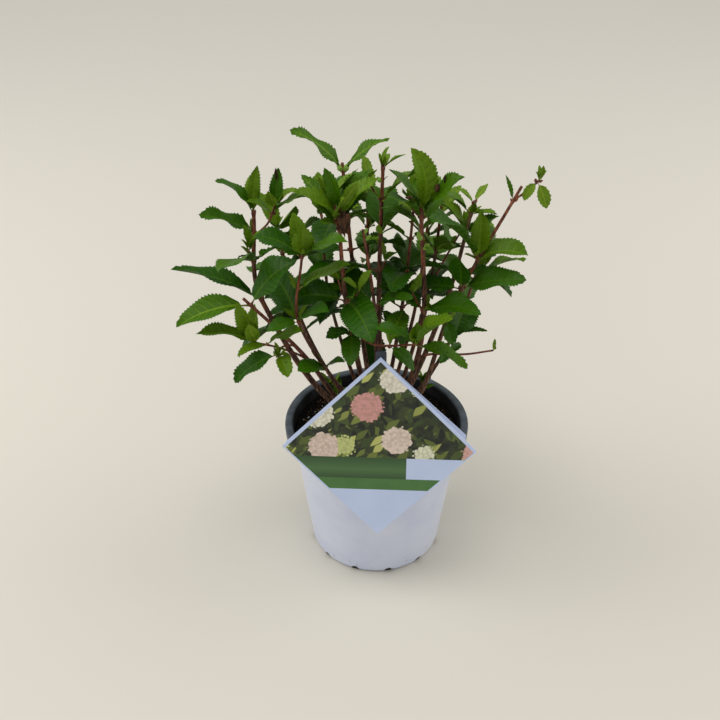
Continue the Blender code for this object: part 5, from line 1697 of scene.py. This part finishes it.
def make_stump(finish):
    """The root crown: a knuckled head on a flared foot, ridged where the stems leave it."""
    profile = [(0, 0), (CROWN_FLARE, 0), (CROWN_FLARE - 2.5 * MM, 1.2 * MM),
               (CROWN_RADIUS + 0.8 * MM, 2.6 * MM)]
    profile += [(CROWN_RADIUS * math.cos(t), CROWN_SHOULDER + CROWN_DOME * math.sin(t))
                for t in (math.pi / 2 * k / 14 for k in range(14))]
    profile.append((0, CROWN_SHOULDER + CROWN_DOME))
    verts, faces = turned_mesh(profile, STUMP_FACETS)
    stems = [heading_vector(math.radians(s.azimuth), math.radians(s.rise)) for s in SHOOTS]
    for vert in verts:
        radius = math.hypot(vert.x, vert.y)
        if vert.z > MM and radius > MM:
            out = Vector((vert.x / CROWN_RADIUS, vert.y / CROWN_RADIUS, vert.z / CROWN_DOME)).normalized()
            knuckle = sum(math.exp(-((out - s).length / 0.2) ** 2) for s in stems)
            bark = noise.noise(Vector((math.atan2(vert.y, vert.x) * 5, radius * 60, vert.z * 60)))
            vert += out * MM * (0.5 * min(knuckle, 1) + 0.7 * bark - 0.5)
        vert.x += CROWN_X
        vert.y += CROWN_Y
        vert.z += CROWN_BASE
    return mesh_piece("root_stump", verts, faces, [finish], sharp=60)


def diamond_strip(low, high, half, right):
    """The part of a diamond between two heights and left of a limit, as (x, y) points round its edge."""
    ends = [low] + ([0.0] if low < 0 < high else []) + [high]
    wide = [(max(half - abs(y), 0.0), y) for y in ends]
    ring = []
    for point in [(min(x, right), y) for x, y in wide] + [(-x, y) for x, y in reversed(wide)]:
        if point not in ring:
            ring.append(point)
    return ring


def card_outline(half):
    """The card's diamond with its four corners rounded a little, as (x, y) points."""
    ring = []
    for k in range(4):
        turn = math.pi / 2 * (k - 1)
        way = Vector((math.cos(turn), math.sin(turn)))
        for swing in (-1, 0, 1):
            point = way * (half - CARD_CORNER * 0.4) * (1 - 0.004 * abs(swing))
            ring.append(tuple(point + way.orthogonal() * swing * CARD_CORNER * 0.45))
    return ring


def make_card_face(finishes):
    """The front card: a thin rounded diamond of white stock with its print as flat fields just over it."""
    right, up, out = card_axes()
    half = CARD_SIDE / math.sqrt(2)
    thick = CARD_THICK / 2
    skin = thick - CARD_SKIN
    verts = []
    faces = []
    kinds = []

    def add_slab(ring, levels, kind):
        """A slab with this outline, from (depth, how far its outline shrinks) levels."""
        centre = sum((Vector(point) for point in ring), Vector((0, 0))) / len(ring)
        rings = []
        for depth, inset in levels:
            shrunk = [Vector(point) + (centre - Vector(point)).normalized() * inset for point in ring]
            rings.append([CARD_CENTRE + right * x + up * y + out * depth for x, y in shrunk])
        join_on(verts, faces, *loft(rings))
        kinds.extend([kind] * (len(faces) - len(kinds)))

    add_slab(card_outline(half), ((-thick, 0.0), (skin - CARD_EDGE, 0.0), (skin, CARD_EDGE)), 0)
    inner = half - (TOP_BORDER + LOW_BORDER) / math.sqrt(2)
    shift = (TOP_BORDER - LOW_BORDER) / math.sqrt(2)
    fields = ((PICTURE_FOOT, inner - shift, inner), (BAND_FOOT, PICTURE_FOOT, BOX_LEFT),
              (LINE_FOOT, BAND_FOOT, inner))
    for kind, (low, high, right_end) in enumerate(fields, 1):
        strip = diamond_strip(low + shift, high + shift, inner, right_end)
        add_slab([(x, y - shift) for x, y in strip], ((skin - CARD_SKIN / 2, 0.0), (thick, 0.0)), kind)
    return mesh_piece("card_face", verts, faces, finishes, kinds, sharp=25)


def make_card_rear(finish):
    """The card's back leaf, curled round the pot behind its right half."""
    right, up, out = card_axes()
    half = CARD_SIDE / math.sqrt(2)
    verts = []
    for depth in (0.0, CARD_THICK):
        for k in range(1, CARD_COLUMNS):
            across = half * (2 * k / CARD_COLUMNS - 1)
            turn = max(across, 0) / CARD_CURL
            side = min(across, 0) + CARD_CURL * math.sin(turn)
            back = CARD_CURL * (1 - math.cos(turn)) + CARD_THICK / 2 + GAP + depth
            reach = half - abs(across)
            spine = CARD_CENTRE + right * side - out * back
            verts += [spine - up * reach, spine + up * reach]
    count = CARD_COLUMNS - 1
    faces = []
    for k in range(count - 1):
        a, b = 2 * k, 2 * (k + count)
        faces += [(a, a + 2, a + 3, a + 1), (b, b + 1, b + 3, b + 2),
                  (a, b, b + 2, a + 2), (a + 1, a + 3, b + 3, b + 1)]
    last = 2 * (count - 1)
    faces.append((0, 1, 2 * count + 1, 2 * count))
    faces.append((last, last + 2 * count, last + 2 * count + 1, last + 1))
    return mesh_piece("card_rear", verts, faces, [finish], sharp=40)


def make_stake_strip(finish):
    """The label's plastic stake: a flat strip with rounded edges and a shallow groove down its face."""
    axis = STAKE_TOP - STAKE_FOOT
    up = axis.normalized()
    side = Vector((1, 0, 0))
    front = up.cross(side).normalized()
    half = STAKE_WIDTH / 2
    deep = STAKE_THICK / 2
    low = 0.6 * deep
    flat = half - STAKE_BEVEL
    section = [(-half, -low), (-flat, -deep), (flat, -deep), (half, -low),
               (half, low), (flat, deep), (GROOVE_TOP, deep), (GROOVE_FLOOR, low),
               (-GROOVE_FLOOR, low), (-GROOVE_TOP, deep), (-flat, deep), (-half, low)]
    rings = []
    for height, narrow in ((0.0, 0.6), (0.004, 1.0), (0.5, 1.0), (0.985, 1.0), (0.996, 0.9), (1.0, 0.74)):
        at = STAKE_FOOT + axis * height
        rings.append([at + side * x * narrow + front * y for x, y in section])
    verts, faces = loft(rings)
    return mesh_piece("stake_strip", verts, faces, [finish], sharp=35)


# ---------------------------------------------------------------- studio

def make_floor():
    """A wide level floor, cream all over, painted darker near the pot and paler far off as painted shade."""
    verts, faces = turned_mesh([(r, 0.0) for r in (0.0, 0.4, 1.0, 2.0, 4.0, 8.0)], 64)
    finish = Finish("cream_floor", (218, 214, 204), 0.8, 0.2)
    # painted shade: the cream runs from darker round the pot to paler far away
    away = finish.node("ShaderNodeVectorMath", {0: finish.place}, operation="LENGTH").outputs["Value"]
    stops = [(0.0, (212, 209, 200)), (1.0, (238, 235, 229))]
    finish.colour(finish.ramp(finish.between(away, 0.2, 2.2), stops))
    return mesh_piece("cream_floor", verts, faces, [finish.material])


def add_lamp(name, place, target, width, power, colour):
    """A soft round lamp that shines on a point."""
    data = bpy.data.lights.new(name, "AREA")
    data.shape = "DISK"
    data.size = width
    data.energy = power
    data.color = colour
    lamp = add_object(name, data)
    lamp.location = place
    lamp.rotation_euler = (Vector(target) - Vector(place)).to_track_quat("-Z", "Y").to_euler()


def set_studio():
    """Camera, soft light and the pale floor."""
    scene = bpy.context.scene
    data = bpy.data.cameras.new("camera")
    data.sensor_width = 36.0
    data.lens = CAMERA_LENS
    scene.camera = add_object("camera", data)
    scene.camera.location = CAMERA_PLACE
    scene.camera.rotation_euler = (CAMERA_TILT, 0.0, 0.0)
    scene.world = bpy.data.worlds.new("soft_room")
    scene.world.use_nodes = True
    room = scene.world.node_tree.nodes["Background"]
    room.inputs["Color"].default_value = display(250, 247, 240)
    room.inputs["Strength"].default_value = 0.6
    for lamp in LAMPS:
        add_lamp(*lamp)
    scene.view_settings.view_transform = "Standard"
    make_floor()


# ---------------------------------------------------------------- the whole plant

def dress_shrub():
    """Bark, blades, stalks and buds in place of the shrub's solids."""
    masses, lines = grow_shrub()
    extra, buds = finer_growth(masses, lines)
    rng = random.Random(FINE_SEED + 1)
    finishes = leaf_finishes()
    leaves = []
    for mass in masses:
        blades = Blades(finishes)
        for leaf in mass.leaves + extra[mass.name]:
            up = leaf_point(leaf, 0.5)[2]
            if up.y > 0.2 and up.z < 0.6:
                leaf = leaf._replace(roll=leaf.roll + math.pi)
            add_blade(blades, leaf, rng)
            leaves.append(leaf)
        put_on(blades.piece("blades_" + mass.name), "leaf", "leaves_" + mass.name)
    old = bark_finish("old_bark", (52, 36, 27), (134, 100, 78), 0.7, 0.5 * MM)
    brown = bark_finish("brown_bark", (54, 32, 24), (118, 80, 58), 0.58, 0.35 * MM)
    young = bark_finish("red_bark", (76, 36, 30), (136, 80, 56), 0.5, 0.2 * MM)
    green = bark_finish("stalk_green", (96, 104, 44), (124, 118, 58), 0.5, 0.12 * MM)
    dry = bark_finish("dry_brown", (40, 28, 21), (92, 64, 44), 0.85, 0.6 * MM)
    bud_green = blade_finish("bud_green", (128, 164, 70), 0.5, 0.05 * MM)
    tree = limb_tree()
    stems = tree.run(all_limbs(masses, lines).piece("shoot_bark"), {
        "Facets": STEM_FACETS, "Relief": BARK_RELIEF, "Grain": 700.0,
        "Old From": 0.78, "Brown From": 0.36, "Old": old, "Brown": brown, "Young": young})
    put_on(stems, "bark", *["stem_" + mass.name for mass in masses if mass.bare])
    stalks = tree.run(all_stalks(leaves).piece("leaf_stalks"), {
        "Facets": STALK_FACETS, "Relief": STALK_RELIEF, "Grain": 900.0,
        "Old From": 9.0, "Brown From": 0.42, "Old": old, "Brown": young, "Young": green})
    put_on(stalks, "leaf")
    tree = bud_tree()
    put_buds(tree, "axil_buds", buds, young, "bark")
    put_buds(tree, "pale_buds", pale_buds(lines), bud_green, "leaf")
    put_on(make_withered(dry), "bark")
    put_on(make_stump(old), "bark", "root_crown")


def dress_pot():
    """The pot, its potting mix, the card and its stake."""
    slate = polythene("slate_rim", (66, 76, 86), (84, 95, 106), (112, 122, 132))
    # painted shade: near black for the shaded inside of the pot, which is slate like the lip, and for the backs
    # of its foot's notches
    inner = polythene("dark_inside", (24, 26, 28), (34, 37, 40), (52, 56, 60))
    put_on(make_pot_shell(wall_finish(), slate, inner), "pot", "pot")
    put_on(make_mix(mix_finish()), "soil", "soil")
    tree = scatter_tree()
    for name, seed, density, size, *looks in CHIPS:
        put_on(strew(tree, name, seed, density, size, crumb_finish(*looks)), "soil")
    stock = card_stock()
    put_on(make_card_face([stock, garden_print(), band_finish(), foot_band()]), "card", "card_front")
    put_on(make_card_rear(stock), "card", "card_back")
    put_on(make_stake_strip(stake_finish()), "stake", "label_stake")


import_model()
set_studio()
dress_shrub()
dress_pot()
